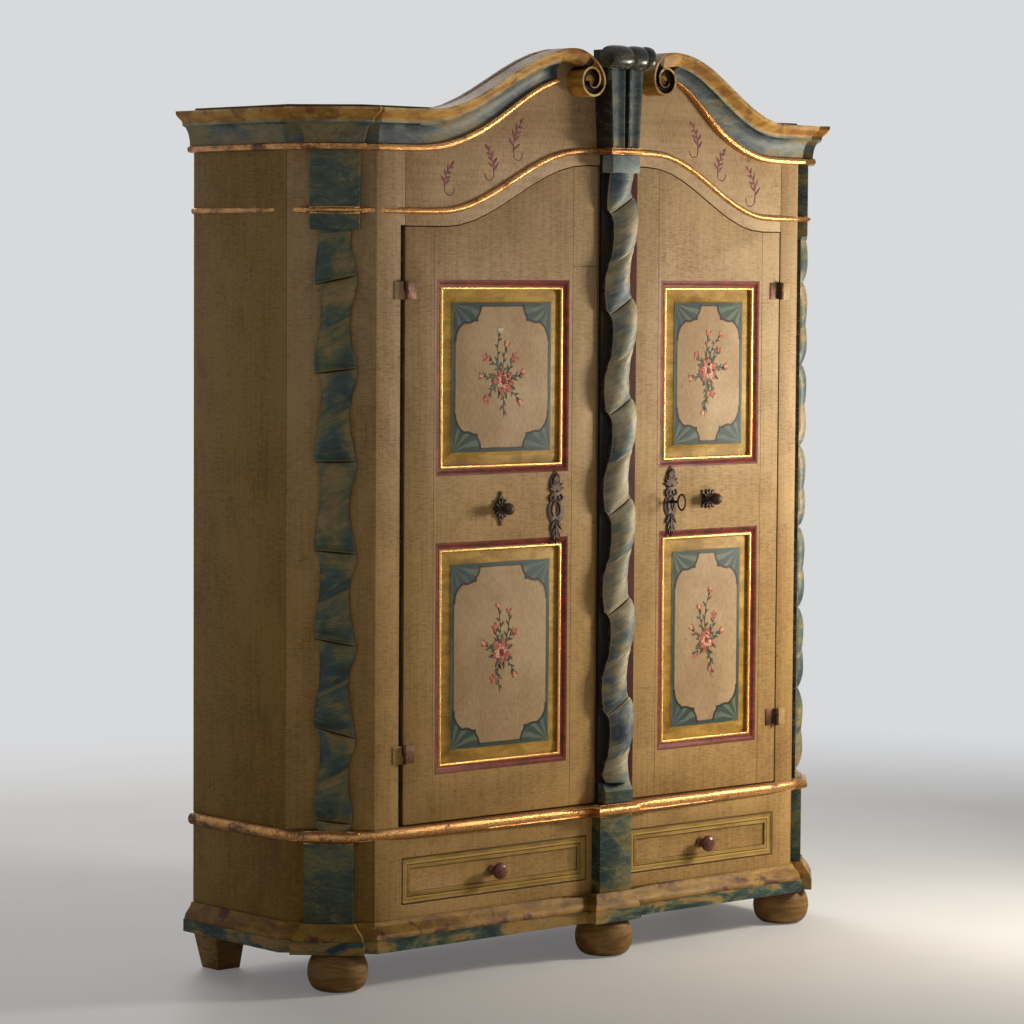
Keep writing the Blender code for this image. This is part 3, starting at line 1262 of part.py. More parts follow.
def add_keyhole(bm, x, y):
    """A keyhole to be cut through a plate or a rail."""
    half, foot = KEYHOLE_SLOT[0] / 2, KEYHOLE_Z - KEYHOLE_SLOT[1]
    outline = [(x + half, foot)]
    start = math.asin(half / KEYHOLE_RADIUS) - math.pi / 2
    sweep = math.tau - 2 * (start + math.pi / 2)
    for i in range(KNUCKLE_SIDES + 1):
        angle = start + sweep * i / KNUCKLE_SIDES
        outline.append((x + KEYHOLE_RADIUS * math.cos(angle), KEYHOLE_Z + KEYHOLE_RADIUS * math.sin(angle)))
    add_front(bm, outline + [(x - half, foot)], y)


def make_escutcheon(name, door, x, width):
    bm = bmesh.new()
    face = DOOR_Y - SEAT_GAP
    outline = mirrored_outline(x, KEYHOLE_Z - ESCUTCHEON_HEIGHT / 2, width, ESCUTCHEON_HEIGHT,
                               ESCUTCHEON_SHARES)
    add_front(bm, outline, (face - ESCUTCHEON_THICKNESS, face))
    plate = place(name, bm, "dark_iron", door)
    bm = bmesh.new()
    add_keyhole(bm, x, (face - ESCUTCHEON_THICKNESS - CUT_OVERRUN, face + CUT_OVERRUN))
    cut(plate, bm, name + "_keyhole_cutter")


def make_lock(door, frame, left_door, bolt_slide):
    """A box lock on the right door's back, its sliding bolt, and the keeper on the left door."""
    bm = bmesh.new()
    add_keyhole(bm, RIGHT_KEYHOLE_X, (DOOR_Y - CUT_OVERRUN, DOOR_BACK_Y + CUT_OVERRUN))
    cut(frame, bm, "right_door_keyhole_cutter")
    y = (DOOR_BACK_Y + SEAT_GAP, DOOR_BACK_Y + SEAT_GAP + LOCK_DEPTH)
    z = (KEYHOLE_Z - LOCK_HEIGHT / 2, KEYHOLE_Z + LOCK_HEIGHT / 2)
    bm = bmesh.new()
    add_box(bm, LOCK_X, y, z)
    case = place("lock_case", bm, "dark_iron", door)
    bm = bmesh.new()
    add_box(bm, (LOCK_X[0] + LOCK_WALL, LOCK_X[1] - LOCK_WALL), (y[0] - CUT_OVERRUN, y[1] - LOCK_WALL),
            (z[0] + LOCK_WALL, z[1] - LOCK_WALL))
    cut(case, bm, "lock_case_inside_cutter")
    bolt_z = (KEYHOLE_Z - BOLT_BELOW_KEY - BOLT_HEIGHT / 2, KEYHOLE_Z - BOLT_BELOW_KEY + BOLT_HEIGHT / 2)
    bolt_y = (y[0] + BOLT_SET_BACK, y[0] + BOLT_SET_BACK + BOLT_THICKNESS)
    slot_y = (bolt_y[0] - BOLT_CLEARANCE, bolt_y[1] + BOLT_CLEARANCE)
    slot_z = (bolt_z[0] - BOLT_CLEARANCE, bolt_z[1] + BOLT_CLEARANCE)
    bm = bmesh.new()
    add_box(bm, (LOCK_X[0] - CUT_OVERRUN, LOCK_X[0] + LOCK_WALL + CUT_OVERRUN), slot_y, slot_z)
    cut(case, bm, "lock_case_slot_cutter")
    head = MEETING_X + DOOR_GAP / 2 + SEAT_GAP
    bm = bmesh.new()
    add_box(bm, (head, head + BOLT_TAIL), bolt_y, bolt_z)
    place("lock_bolt", bm, "dark_iron", bolt_slide)
    edge = MEETING_X - DOOR_GAP / 2 - SEAT_GAP
    root, pocket = edge - KEEPER_WIDTH, edge - KEEPER_POCKET
    low, high = slot_z[0] - KEEPER_MARGIN, slot_z[1] + KEEPER_MARGIN
    outline = [(edge, low), (edge, slot_z[0]), (pocket, slot_z[0]), (pocket, slot_z[1]),
               (edge, slot_z[1]), (edge, high), (root, high), (root, low)]
    bm = bmesh.new()
    add_front(bm, outline, (y[0], slot_y[1]))
    place("lock_keeper", bm, "dark_iron", left_door)


def make_key(turn):
    """The key in the lock: a shaft, an oval bow outside and a bit inside."""
    plate = DOOR_Y - ESCUTCHEON_THICKNESS
    x = RIGHT_KEYHOLE_X
    start, end = plate - KEY_FRONT, DOOR_BACK_Y + KEY_INSIDE
    bm = bmesh.new()
    add_turned(bm, [(0, start), (KEY_SHAFT_RADIUS, start), (KEY_SHAFT_RADIUS, end), (0, end)],
               (x, 0, KEYHOLE_Z), (0, 1, 0), KNUCKLE_SIDES)
    key = place("key", bm, "dark_iron", turn)
    half = KEY_BIT_THICKNESS / 2
    bm = bmesh.new()
    add_box(bm, (x - half, x + half), (end - KEY_BIT_LENGTH - half, end - half),
            (KEYHOLE_Z - KEY_SHAFT_RADIUS - KEY_BIT_DROP, KEYHOLE_Z))
    join(key, bm, "key_bit")
    middle = Vector((x, start + KEY_BOW_RADIUS - KEY_BOW_LENGTH / 2, KEYHOLE_Z))
    rings = []
    for i in range(BUN_SIDES):
        angle = math.tau * i / BUN_SIDES
        spoke = Vector((0, math.cos(angle), math.sin(angle)))
        centre = middle + Vector((0, spoke.y * (KEY_BOW_LENGTH / 2 - KEY_BOW_RADIUS),
                                  spoke.z * (KEY_BOW_HEIGHT / 2 - KEY_BOW_RADIUS)))
        ring = []
        for k in range(BUN_STEPS):
            around = math.tau * k / BUN_STEPS
            out = spoke * math.cos(around) + Vector((math.sin(around), 0, 0))
            ring.append(centre + out * KEY_BOW_RADIUS)
        rings.append(ring)
    bm = bmesh.new()
    add_rings(bm, rings, closed=True)
    join(key, bm, "key_bow")


def make_door_bolt(door, slide):
    """The left door's bolt, which drops into the floor's notch, and its sleeve."""
    near = DOOR_BACK_Y + SEAT_GAP
    bolt_y = (near + SLEEVE_WALL + BOLT_CLEARANCE, near + SLEEVE_WALL + BOLT_CLEARANCE + DOOR_BOLT_THICKNESS)
    far = bolt_y[1] + BOLT_CLEARANCE
    half = DOOR_BOLT_WIDTH / 2
    low = FLOOR_TOP_Z + BOLT_REST_CLEARANCE
    knob_z = low + DOOR_BOLT_LENGTH * BOLT_KNOB_SHARE
    bm = bmesh.new()
    add_box(bm, (DOOR_BOLT_X - half, DOOR_BOLT_X + half), bolt_y, (low, low + DOOR_BOLT_LENGTH))
    bolt = place("door_bolt", bm, "dark_iron", slide)
    bm = bmesh.new()
    add_turned(bm, [(0, -DOOR_BOLT_THICKNESS / 2), (BOLT_KNOB_RADIUS, -DOOR_BOLT_THICKNESS / 2),
                    (BOLT_KNOB_RADIUS, BOLT_KNOB_HEIGHT), (0, BOLT_KNOB_HEIGHT)],
               (DOOR_BOLT_X, bolt_y[1], knob_z), (0, 1, 0), KNUCKLE_SIDES)
    join(bolt, bm, "door_bolt_knob")
    inner = half + BOLT_CLEARANCE
    outer = inner + SLEEVE_WALL
    sleeve_z = (low + SLEEVE_MARGIN, low + DOOR_BOLT_LENGTH - SLEEVE_MARGIN)
    bm = bmesh.new()
    add_box(bm, (DOOR_BOLT_X - outer, DOOR_BOLT_X + outer), (near, far + SLEEVE_WALL), sleeve_z)
    sleeve = place("bolt_sleeve", bm, "dark_iron", door)
    bm = bmesh.new()
    add_box(bm, (DOOR_BOLT_X - inner, DOOR_BOLT_X + inner), (near + SLEEVE_WALL, far),
            (sleeve_z[0] - CUT_OVERRUN, sleeve_z[1] + CUT_OVERRUN))
    cut(sleeve, bm, "sleeve_channel_cutter")
    window = BOLT_KNOB_RADIUS + BOLT_CLEARANCE
    bm = bmesh.new()
    add_box(bm, (DOOR_BOLT_X - window, DOOR_BOLT_X + window),
            (far - CUT_OVERRUN, far + SLEEVE_WALL + CUT_OVERRUN),
            (knob_z - window - DOOR_BOLT_THROW, knob_z + window))
    cut(sleeve, bm, "sleeve_window_cutter")


# Drawers
def make_drawer(name, slide, opening, knob_x):
    """A drawer: a front with a struck frame round its field, and the box behind it."""
    front_x = (opening[0] + DRAWER_REVEAL, opening[1] - DRAWER_REVEAL)
    front_z = (DRAWER_Z[0] + DRAWER_REVEAL, DRAWER_Z[1] - DRAWER_REVEAL)
    box_x = drawer_box_x(opening)
    box_z = (DRAWER_BOTTOM_Z, DRAWER_BOTTOM_Z + DRAWER_SIDE_HEIGHT)
    field_y = FRONT_Y + DRAWER_FIELD_SINK
    back_y = field_y + DRAWER_FRONT_BOARD
    end_y = back_y + DRAWER_DEPTH
    inner, groove = DRAWER_FRAME_WIDTH, DRAWER_GROOVE
    rings = [rectangle(box_x, box_z, 0, end_y), rectangle(box_x, box_z, 0, back_y)]
    face = [(0, back_y), (0, FRONT_Y), (groove, FRONT_Y), (2 * groove, FRONT_Y + groove),
            (inner - 2 * groove, FRONT_Y + groove), (inner - groove, FRONT_Y + groove / 2),
            (inner, field_y)]
    rings += [rectangle(front_x, front_z, inset, y) for inset, y in face]
    bm = bmesh.new()
    add_rings(bm, rings)
    drawer = place(name, bm, "ochre_paint", slide)
    bm = bmesh.new()
    add_box(bm, (box_x[0] + DRAWER_BOARD, box_x[1] - DRAWER_BOARD), (back_y, end_y - DRAWER_BOARD),
            (box_z[0] + DRAWER_BOTTOM_BOARD, box_z[1] + CUT_OVERRUN))
    cut(drawer, bm, name + "_inside_cutter")
    profile = [(radius * DRAWER_KNOB_RADIUS, out * DRAWER_KNOB_OUT) for radius, out in DRAWER_KNOB_SHARES]
    middle_z = (DRAWER_Z[0] + DRAWER_Z[1]) / 2
    bm = bmesh.new()
    add_turned(bm, profile, (knob_x, field_y - SEAT_GAP, middle_z), (0, -1, 0), KNOB_SIDES)
    place(name + "_knob", bm, "knob_wood", slide)


def make_doors():
    """Both doors with all that they carry."""
    left = pivot("left_door_axis", (LEFT_DOOR_X + DOOR_GAP / 2, HINGE_Y, 0))
    right = pivot("right_door_axis", (RIGHT_DOOR_X - DOOR_GAP / 2, HINGE_Y, 0))
    left_x = (LEFT_DOOR_X + DOOR_GAP, MEETING_X - DOOR_GAP / 2)
    right_x = (MEETING_X + DOOR_GAP / 2, RIGHT_DOOR_X - DOOR_GAP)
    make_door_frame("left_door", left, left_x, LEFT_PANEL_X)
    right_frame = make_door_frame("right_door", right, right_x, RIGHT_PANEL_X)
    make_door_panels("left_door", left, LEFT_PANEL_X)
    make_door_panels("right_door", right, RIGHT_PANEL_X)
    make_centre_pilaster(right)
    for level, z in HINGE_Z.items():
        make_hinge("left", level, left, 1, z)
        make_hinge("right", level, right, -1, z)
    make_door_pull("left_door_pull", left, LEFT_KNOB_X, DIAMOND_SHARES)
    make_door_pull("right_door_pull", right, RIGHT_KNOB_X, SQUARE_SHARES)
    make_escutcheon("left_escutcheon", left, LEFT_KEYHOLE_X, LEFT_ESCUTCHEON_WIDTH)
    make_escutcheon("right_escutcheon", right, RIGHT_KEYHOLE_X, RIGHT_ESCUTCHEON_WIDTH)
    make_lock(right, right_frame, left, pivot("lock_bolt_slide", (LOCK_X[0], DOOR_BACK_Y, KEYHOLE_Z)))
    make_key(pivot("key_axis", (RIGHT_KEYHOLE_X, DOOR_Y, KEYHOLE_Z)))
    make_door_bolt(left, pivot("door_bolt_slide", (DOOR_BOLT_X, DOOR_BACK_Y, FLOOR_TOP_Z)))


def build():
    clear_scene()
    for side, name in ((-1, "left"), (1, "right")):
        make_side(side, "side_" + name)
        make_base_side(side, "base_" + name)
        make_corner_pilaster(side, "pilaster_" + name)
        make_cornice(side, "cornice_" + name)
        make_scroll(side, "scroll_" + name)
    make_front_post(-1, "front_post_left", LEFT_DOOR_X)
    make_front_post(1, "front_post_right", RIGHT_DOOR_X)
    make_frieze()
    make_back()
    make_levels()
    make_clothes_rail()
    make_drawer_frame()
    make_drawer_bed()
    make_feet()
    make_waist_moulding()
    make_plinth_moulding()
    make_frieze_bead()
    make_console()
    make_console_roll()
    make_doors()
    left = pivot("left_drawer_slide", (DRAWER_KNOB_X[0], FRONT_Y, DRAWER_BOTTOM_Z))
    right = pivot("right_drawer_slide", (DRAWER_KNOB_X[1], FRONT_Y, DRAWER_BOTTOM_Z))
    make_drawer("left_drawer", left, LEFT_DRAWER_X, DRAWER_KNOB_X[0])
    make_drawer("right_drawer", right, RIGHT_DRAWER_X, DRAWER_KNOB_X[1])


build()
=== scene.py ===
# %% [markdown]
# # A painted baroque wardrobe
# The real wardrobe is a knock-down softwood case of about 1750 to 1800, painted to look
# like marble, gilding and flowers. The frame that is loaded here already has its boards,
# doors, drawers and hinges at their true places. This lesson gives them their finish:
# soft worn edges, rounded carving, old paint, and the flowers on the doors.
# A copy of each board is shaped, and the frame's own mesh is never touched.

# %% Load the frame
import json
import math
import random

import bpy
from mathutils import Matrix, Vector

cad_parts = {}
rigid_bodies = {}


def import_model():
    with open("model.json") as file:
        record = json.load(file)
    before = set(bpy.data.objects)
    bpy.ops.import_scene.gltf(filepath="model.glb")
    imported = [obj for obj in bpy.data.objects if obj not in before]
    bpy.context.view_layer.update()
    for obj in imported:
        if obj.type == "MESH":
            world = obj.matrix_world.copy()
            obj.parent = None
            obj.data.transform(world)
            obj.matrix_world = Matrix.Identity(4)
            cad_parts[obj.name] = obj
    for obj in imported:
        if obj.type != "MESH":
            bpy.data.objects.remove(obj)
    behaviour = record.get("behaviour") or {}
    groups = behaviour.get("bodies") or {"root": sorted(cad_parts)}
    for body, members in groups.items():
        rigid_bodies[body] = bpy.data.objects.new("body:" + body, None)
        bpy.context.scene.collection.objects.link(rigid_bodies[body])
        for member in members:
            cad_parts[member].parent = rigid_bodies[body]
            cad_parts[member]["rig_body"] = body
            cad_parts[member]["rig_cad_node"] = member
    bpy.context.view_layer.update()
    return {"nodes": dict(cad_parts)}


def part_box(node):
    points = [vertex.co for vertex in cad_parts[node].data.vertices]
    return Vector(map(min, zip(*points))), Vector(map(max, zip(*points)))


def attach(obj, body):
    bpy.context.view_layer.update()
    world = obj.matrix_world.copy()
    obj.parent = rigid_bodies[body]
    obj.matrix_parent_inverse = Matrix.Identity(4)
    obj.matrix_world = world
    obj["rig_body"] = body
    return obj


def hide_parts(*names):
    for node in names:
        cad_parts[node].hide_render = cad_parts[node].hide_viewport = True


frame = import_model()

scene = bpy.context.scene
print("nodes in the frame:", len(frame["nodes"]))

# %% [markdown]
# ## Places that the whole file needs
# The wardrobe's front is a plane, its corners are cut off at 45 degrees, and the cornice
# climbs to its crest on an eased curve. These are the joiner's own measures, so a pattern
# or a carved piece can be laid out from them, as it would be with a rule on the real one.

# %% Measures
FRONT_Y = -0.1975
FRONT_HALF = 0.655
CREST_X = 0.046
CORNICE_LOW, CORNICE_CLIMB = 1.940, 0.153
CANT_REACH = FRONT_HALF - FRONT_Y
SIDES, LEVELS = ("left", "right"), ("lower", "upper")
PANELS_X = {"left": (-0.4805, -0.084), "right": (0.2047, 0.5298)}
PANELS_Z = {"lower": (0.464, 0.982), "upper": (1.131, 1.568)}
RED_WIDTH = 0.0155  # of the moulding round a panel, from its outer edge
KEYHOLES = {"left": (-0.123, 1.050), "right": (0.241, 1.050)}
KNOBS = {"left": (-0.290, 1.053), "right": (0.364, 1.053)}


def ease(share):
    return share * share * (3 - 2 * share)


def cornice_line(x):
    """Height of the cornice's top edge over a place on the front."""
    inner, outer = {-1: (0.151, 0.588), 1: (0.165, 0.515)}[-1 if x < CREST_X else 1]
    share = (outer - abs(x - CREST_X)) / (outer - inner)
    return CORNICE_LOW + CORNICE_CLIMB * ease(min(max(share, 0), 1))


print("cornice climbs from", cornice_line(-0.7), "to", cornice_line(CREST_X))

# %% [markdown]
# ## The camera
# The photograph was taken from the wardrobe's left, a little above the waist, with a long
# lens that hardly widens towards the edges. The camera's place and turn come from fitting
# the edges of the case, and the small roll is the photographer's.

# %% Camera
CAMERA_AT = (-5.847, -6.5425, 1.582)
YAW, PITCH, ROLL = (math.radians(angle) for angle in (41.382, 3.641, 0.368))
bpy.ops.object.select_all(action="DESELECT")
bpy.ops.object.camera_add()
camera = bpy.context.active_object
camera.name = "studio_camera"
camera.matrix_world = (Matrix.Translation(CAMERA_AT) @ Matrix.Rotation(-YAW, 4, "Z")
                       @ Matrix.Rotation(math.pi / 2 - PITCH, 4, "X")
                       @ Matrix.Rotation(ROLL, 4, "Z"))
camera.data.lens = 131.68
camera.data.sensor_width = 36
camera.data.clip_end = 100  # metres
scene.camera = camera
print("camera at", CAMERA_AT, "lens", camera.data.lens)

# %% [markdown]
# ## Lamps
# A small warm lamp stands near and low on the right, so the carving on the front throws
# shade to the left and the light falls off across the doors, as in the photograph. A weak
# wide lamp from the left opens the shade, another lights the back, and the world adds a
# little even light. Area lamps are used because a real studio has soft boxes.

# %% Lamps
scene.view_settings.view_transform = "Standard"
LAMPS = {
    # where it stands, what it is aimed at, its side in metres, its watts, its colour
    "key_lamp": ((1.75, -1.2, 1.2), (0.1, -0.2, 1.1), 0.45, 43, (1, 0.915, 0.77)),
    "fill_lamp": ((-4.8, -4.4, 2.6), (0, 0, 0.9), 3.0, 5.5, (1, 0.86, 0.56)),
    "back_lamp": ((1.5, 4.6, 3.6), (0, 0, 1.0), 3.0, 130, (1, 1, 1)),
}
for name, (stand, target, size, power, tint) in LAMPS.items():
    bpy.ops.object.light_add(type="AREA", location=stand)
    made = bpy.context.active_object
    made.name = name
    made.data.size, made.data.energy, made.data.color = size, power, tint
    made.visible_camera = False
    made.rotation_euler = (Vector(target) - Vector(stand)).to_track_quat("-Z", "Y").to_euler()
print("lamps:", sorted(LAMPS))

# %% [markdown]
# ## Sums on surfaces
# A painter varies a colour by hand. Here a pattern is a sum over places on the surface.
# Blender builds such sums from nodes, which are slow to wire one by one. This small class
# wraps a socket, so that an ordinary Python sum adds the Math nodes by itself.


# %% A socket that can be reckoned with
class Amount:
    """A number that varies over the surface."""

    def __init__(self, finish, socket):
        self.finish = finish
        self.socket = socket

    def sum(self, operation, *values):
        return self.finish.node("ShaderNodeMath", {"operation": operation}, values)

    def __add__(self, other):
        return self.sum("ADD", self, other)

    def __sub__(self, other):
        return self.sum("SUBTRACT", self, other)

    def __mul__(self, other):
        return self.sum("MULTIPLY", self, other)

    def __radd__(self, other):
        return self.sum("ADD", other, self)

    def __rsub__(self, other):
        return self.sum("SUBTRACT", other, self)

    def __rmul__(self, other):
        return self.sum("MULTIPLY", other, self)

    def __abs__(self):
        return self.sum("ABSOLUTE", self)

    def least(self, other):
        return self.sum("MINIMUM", self, other)

    def most(self, other):
        return self.sum("MAXIMUM", self, other)

    def sine(self):
        return self.sum("SINE", self)

    def root(self):
        return self.sum("SQRT", self)

    def fraction(self):
        return self.sum("FRACT", self)

    def rise(self, low, high):
        """0 below low, 1 above high and smooth between; with high below low it falls."""
        return self.finish.node("ShaderNodeMapRange", {"interpolation_type": "SMOOTHSTEP"},
                                {"Value": self, "From Min": low, "From Max": high})


# %% [markdown]
# ## One class for every finish
# A material can be wired by hand, node by node. Here each finish is one object instead: it
# makes any node with its settings and inputs in one line, lays thin coats of colour one
# over another as a painter does, and joins the result to its shader. Old paint is dull, so
# little light is mirrored unless a finish asks for shine.


# %% A material and the nodes behind it
def paint(red, green, blue):
    """A colour as a painter's chart gives it, 0 to 255, made linear."""
    shares = [part / 255 for part in (red, green, blue)]
    return tuple(share / 12.92 if share < 0.04 else ((share + 0.055) / 1.055) ** 2.4
                 for share in shares)


BUMP_STRENGTH = 0.6


class Finish:
    """One material: every node comes from node(), and coat() joins the sums to its shader."""

    def __init__(self, name):
        self.material = bpy.data.materials.new(name)
        self.material.use_nodes = True
        self.tree = self.material.node_tree
        self.shader = self.tree.nodes["Principled BSDF"]
        self.place = self.node("ShaderNodeTexCoord", output="Object")

    def feed(self, socket, value):
        if isinstance(value, Amount):
            self.tree.links.new(value.socket, socket)
        elif socket.type == "RGBA":
            socket.default_value = (*value, 1)
        else:
            socket.default_value = value

    def node(self, kind, settings=(), inputs=(), output=0):
        made = self.tree.nodes.new(kind)
        for key, value in dict(settings).items():
            if key == "stops":
                self.set_stops(made.color_ramp.elements, value)
            else:
                setattr(made, key, value)
        pairs = inputs.items() if isinstance(inputs, dict) else enumerate(inputs)
        for key, value in pairs:
            self.feed(made.inputs[key], value)
        return Amount(self, made.outputs[output])

    def set_stops(self, elements, stops):
        while len(elements) < len(stops):
            elements.new(0.5)
        for element, (place, colour) in zip(elements, stops):
            element.position = place
            element.color = (*colour, 1)

    def axes(self, vector=None, names="XYZ"):
        """The places along each axis as separate numbers."""
        inputs = {"Vector": vector or self.place}
        return [self.node("ShaderNodeSeparateXYZ", (), inputs, name) for name in names]

    def stretched(self, scale, turn=(0, 0, 0)):
        inputs = {"Vector": self.place, "Scale": scale, "Rotation": turn}
        return self.node("ShaderNodeMapping", (), inputs)

    def noise(self, scale, detail=4.0, rough=0.5, twist=0.0, turn=(0, 0, 0), vector=None):
        """Soft random cloud; scale is how many waves there are in a metre, along each axis."""
        inputs = {"Vector": vector or self.stretched(scale, turn), "Scale": 1.0,
                  "Detail": detail, "Roughness": rough, "Distortion": twist}
        return self.node("ShaderNodeTexNoise", (), inputs)

    def cracks(self, scale):
        """Distance from the edge of a random cell, in cells."""
        return self.node("ShaderNodeTexVoronoi", {"feature": "DISTANCE_TO_EDGE"},
                         {"Vector": self.stretched(scale), "Scale": 1.0})

    def mix(self, share, first, second, blend="MIX"):
        settings = {"data_type": "RGBA", "blend_type": blend}
        return self.node("ShaderNodeMix", settings, {0: share, 6: first, 7: second}, 2)

    def glaze(self, colour, *coats):
        """Thin coats over a colour: each is how much of it covers and its own colour."""
        for share, tint in coats:
            colour = self.mix(share, colour, tint)
        return colour

    def ramp(self, share, *stops):
        return self.node("ShaderNodeValToRGB", {"stops": stops}, {"Fac": share})

    def coat(self, colour, rough, bump=None, depth=0.001, metal=0.0, shine=0.2):
        """Join the sums to the shader; depth is the bump's own, in metres."""
        self.shader.inputs["Specular IOR Level"].default_value = shine
        parts = {"Base Color": colour, "Roughness": rough, "Metallic": metal}
        if bump:
            inputs = {"Height": bump, "Distance": depth, "Strength": BUMP_STRENGTH}
            parts["Normal"] = self.node("ShaderNodeBump", (), inputs)
        for name, value in parts.items():
            self.feed(self.shader.inputs[name], value)
        return self.material


# %% [markdown]
# ## The floor
# A plain pale floor catches the wardrobe's shadow. Far from the wardrobe it fades into the
# colour of the world, so no horizon cuts through the picture, and near it the camera alone
# sees a little of that colour added. The world shows the pale colour to the camera and to
# whatever mirrors, and gives the wardrobe itself only a weak warm light.

# %% Floor
BACKDROP = paint(216, 217, 219)
FLOOR_FADE = (2.0, 4.6)  # metres from the wardrobe
bpy.ops.mesh.primitive_circle_add(vertices=64, radius=9, fill_type="NGON",
                                  location=(0, 0, -0.0005))
floor = bpy.context.active_object
floor.name = "studio_floor"
floor_finish = Finish("pale_floor")
floor_x, floor_y = floor_finish.axes(names="XY")
away = (floor_x * floor_x + floor_y * floor_y).root()
floor_tone = floor_finish.noise((1.5, 1.5, 1.5)).rise(0.3, 0.7)
floor_colour = floor_finish.mix(floor_tone, paint(232, 231, 230), paint(238, 237, 236))
floor_finish.coat(floor_colour, 0.5, shine=0.05)
backdrop_light = floor_finish.node("ShaderNodeEmission", (), {"Color": BACKDROP, "Strength": 1.0})
shaded_floor = Amount(floor_finish, floor_finish.shader.outputs["BSDF"])
seen_floor = floor_finish.node("ShaderNodeLightPath")
pale_share = (seen_floor * 0.17).most(away.rise(*FLOOR_FADE))
blended = floor_finish.node("ShaderNodeMixShader", (), (pale_share, shaded_floor, backdrop_light))
floor_finish.feed(floor_finish.tree.nodes["Material Output"].inputs["Surface"], blended)
floor.data.materials.append(floor_finish.material)
print("floor is ready")

# %% World
world = bpy.data.worlds.new("studio_world")
world.use_nodes = True
scene.world = world
world_tree = world.node_tree
light_path = world_tree.nodes.new("ShaderNodeLightPath")
seen = world_tree.nodes.new("ShaderNodeMixShader")
backdrop = world_tree.nodes.new("ShaderNodeBackground")
backdrop.inputs["Color"].default_value = (*BACKDROP, 1)
ambient = world_tree.nodes["Background"]
ambient.inputs["Color"].default_value = (1, 0.94, 0.82, 1)
ambient.inputs["Strength"].default_value = 0.09
rays = light_path.outputs["Is Camera Ray"]
for other in ("Is Glossy Ray", "Is Transmission Ray"):
    added = world_tree.nodes.new("ShaderNodeMath")
    added.operation = "MAXIMUM"
    world_tree.links.new(rays, added.inputs[0])
    world_tree.links.new(light_path.outputs[other], added.inputs[1])
    rays = added.outputs[0]
world_tree.links.new(rays, seen.inputs[0])
world_tree.links.new(ambient.outputs[0], seen.inputs[1])
world_tree.links.new(backdrop.outputs[0], seen.inputs[2])
world_tree.links.new(seen.outputs[0], world_tree.nodes["World Output"].inputs["Surface"])
print("world is ready")

# %% [markdown]
# ## Old oil paint on softwood
# The case was painted a warm grey-beige, thin enough that the grain of the boards shows as
# fine upright lines. Two hundred years have left small dark flecks, hair cracks, and dark
# lines where boards meet. Noise stretched along the grain gives the lines, a cell pattern
# gives the cracks, and the joint lines are laid out from measures.


# %% Lines where boards meet
def joint_lines(finish, lines):
    """Thin dark lines where boards meet: each is (axis, place, low, high) on the front."""
    x, y, z = finish.axes()
    shade = None
    for axis, place, low, high in lines:
        across, along = (x, z) if axis == "upright" else (z, x)
        line = abs(across - place).rise(0.0013, 0.0006) * along.rise(low - 0.001, low + 0.001)
        line = line * along.rise(high + 0.001, high - 0.001)
        shade = line if shade is None else shade.most(line)
    return shade


# %% Body paint
LOWER_TINT = (0.96, 0.87, 0.58)  # the lower part of the case is warmer and darker


def old_paint(name, pale, deep, lines=(), grain=(150, 150, 5), worn=0.5):
    finish = Finish(name)
    z, = finish.axes(names="Z")
    hair = finish.noise(grain, 8, 0.65)
    stroke = finish.noise((11, 11, 8), 5, 0.65)
    cloud = finish.noise((3.2, 3.2, 2.1), 4, 0.6)
    fleck = finish.noise((190, 190, 120), 3, 0.6).rise(0.66, 0.72)
    pit = finish.noise((60, 60, 42), 4, 0.7).rise(0.66, 0.74)
    crack = finish.cracks((34, 34, 120)).rise(0.035, 0.0)
    crack = crack * finish.noise((9, 9, 9)).rise(0.48, 0.62)
    weft = finish.noise([300 if part < 50 else 60 for part in grain], 5, 0.65)
    tone = hair.rise(0.38, 0.66) * 0.22 + stroke.rise(0.3, 0.7) * 0.22
    tone = tone + cloud.rise(0.32, 0.68) * 0.3 + weft.rise(0.4, 0.66) * 0.34
    colour = finish.mix(tone.rise(0.1, 1.05), pale, deep)
    colour = finish.mix(z.rise(1.7, 0.7), colour, LOWER_TINT, "MULTIPLY")
    grime = finish.noise((7, 7, 5), 6, 0.7).rise(0.55, 0.75) * worn
    colour = finish.glaze(colour, (grime * 0.5, [part * 0.55 for part in deep]),
                          ((fleck * 0.45 + pit * 0.35).least(0.7), paint(72, 52, 34)),
                          (crack * 0.5, paint(60, 46, 30)))
    height = hair * 0.6 + weft * 0.4 + stroke * 0.2 - crack * 0.6 - pit * 0.4
    if lines:
        seam = joint_lines(finish, lines)
        colour = finish.mix(seam * 0.6, colour, paint(58, 42, 26))
        height = height - seam * 1.2
    rough = 0.52 + tone * 0.12 + pit * 0.15
    return finish.coat(colour, rough, height, 0.0009)


BEIGE, BROWN_BEIGE = paint(186, 156, 116), paint(146, 116, 80)
OLIVE, DEEP_OLIVE = paint(156, 128, 74), paint(116, 90, 46)
body_paint = old_paint("body_paint", BEIGE, BROWN_BEIGE)
# A darker, more olive copy of the body paint with more grime: painted shade for the sides, which
# stand in shade.
side_paint = old_paint("side_paint", OLIVE, DEEP_OLIVE, worn=0.9)
frieze_paint = old_paint("frieze_paint", BEIGE, BROWN_BEIGE, grain=(6, 150, 130))
LEFT_DOOR_LINES = [("upright", -0.488, 0.36, 1.72), ("upright", -0.074, 0.36, 1.84),
                   ("level", 1.600, -0.074, 0.003)]
RIGHT_DOOR_LINES = [("upright", 0.196, 0.36, 1.86), ("upright", 0.538, 0.36, 1.74)]
door_paint = {side: old_paint(f"{side}_door_paint", BEIGE, BROWN_BEIGE, lines)
              for side, lines in zip(SIDES, (LEFT_DOOR_LINES, RIGHT_DOOR_LINES))}
print("body paints:", body_paint.name, side_paint.name, frieze_paint.name)

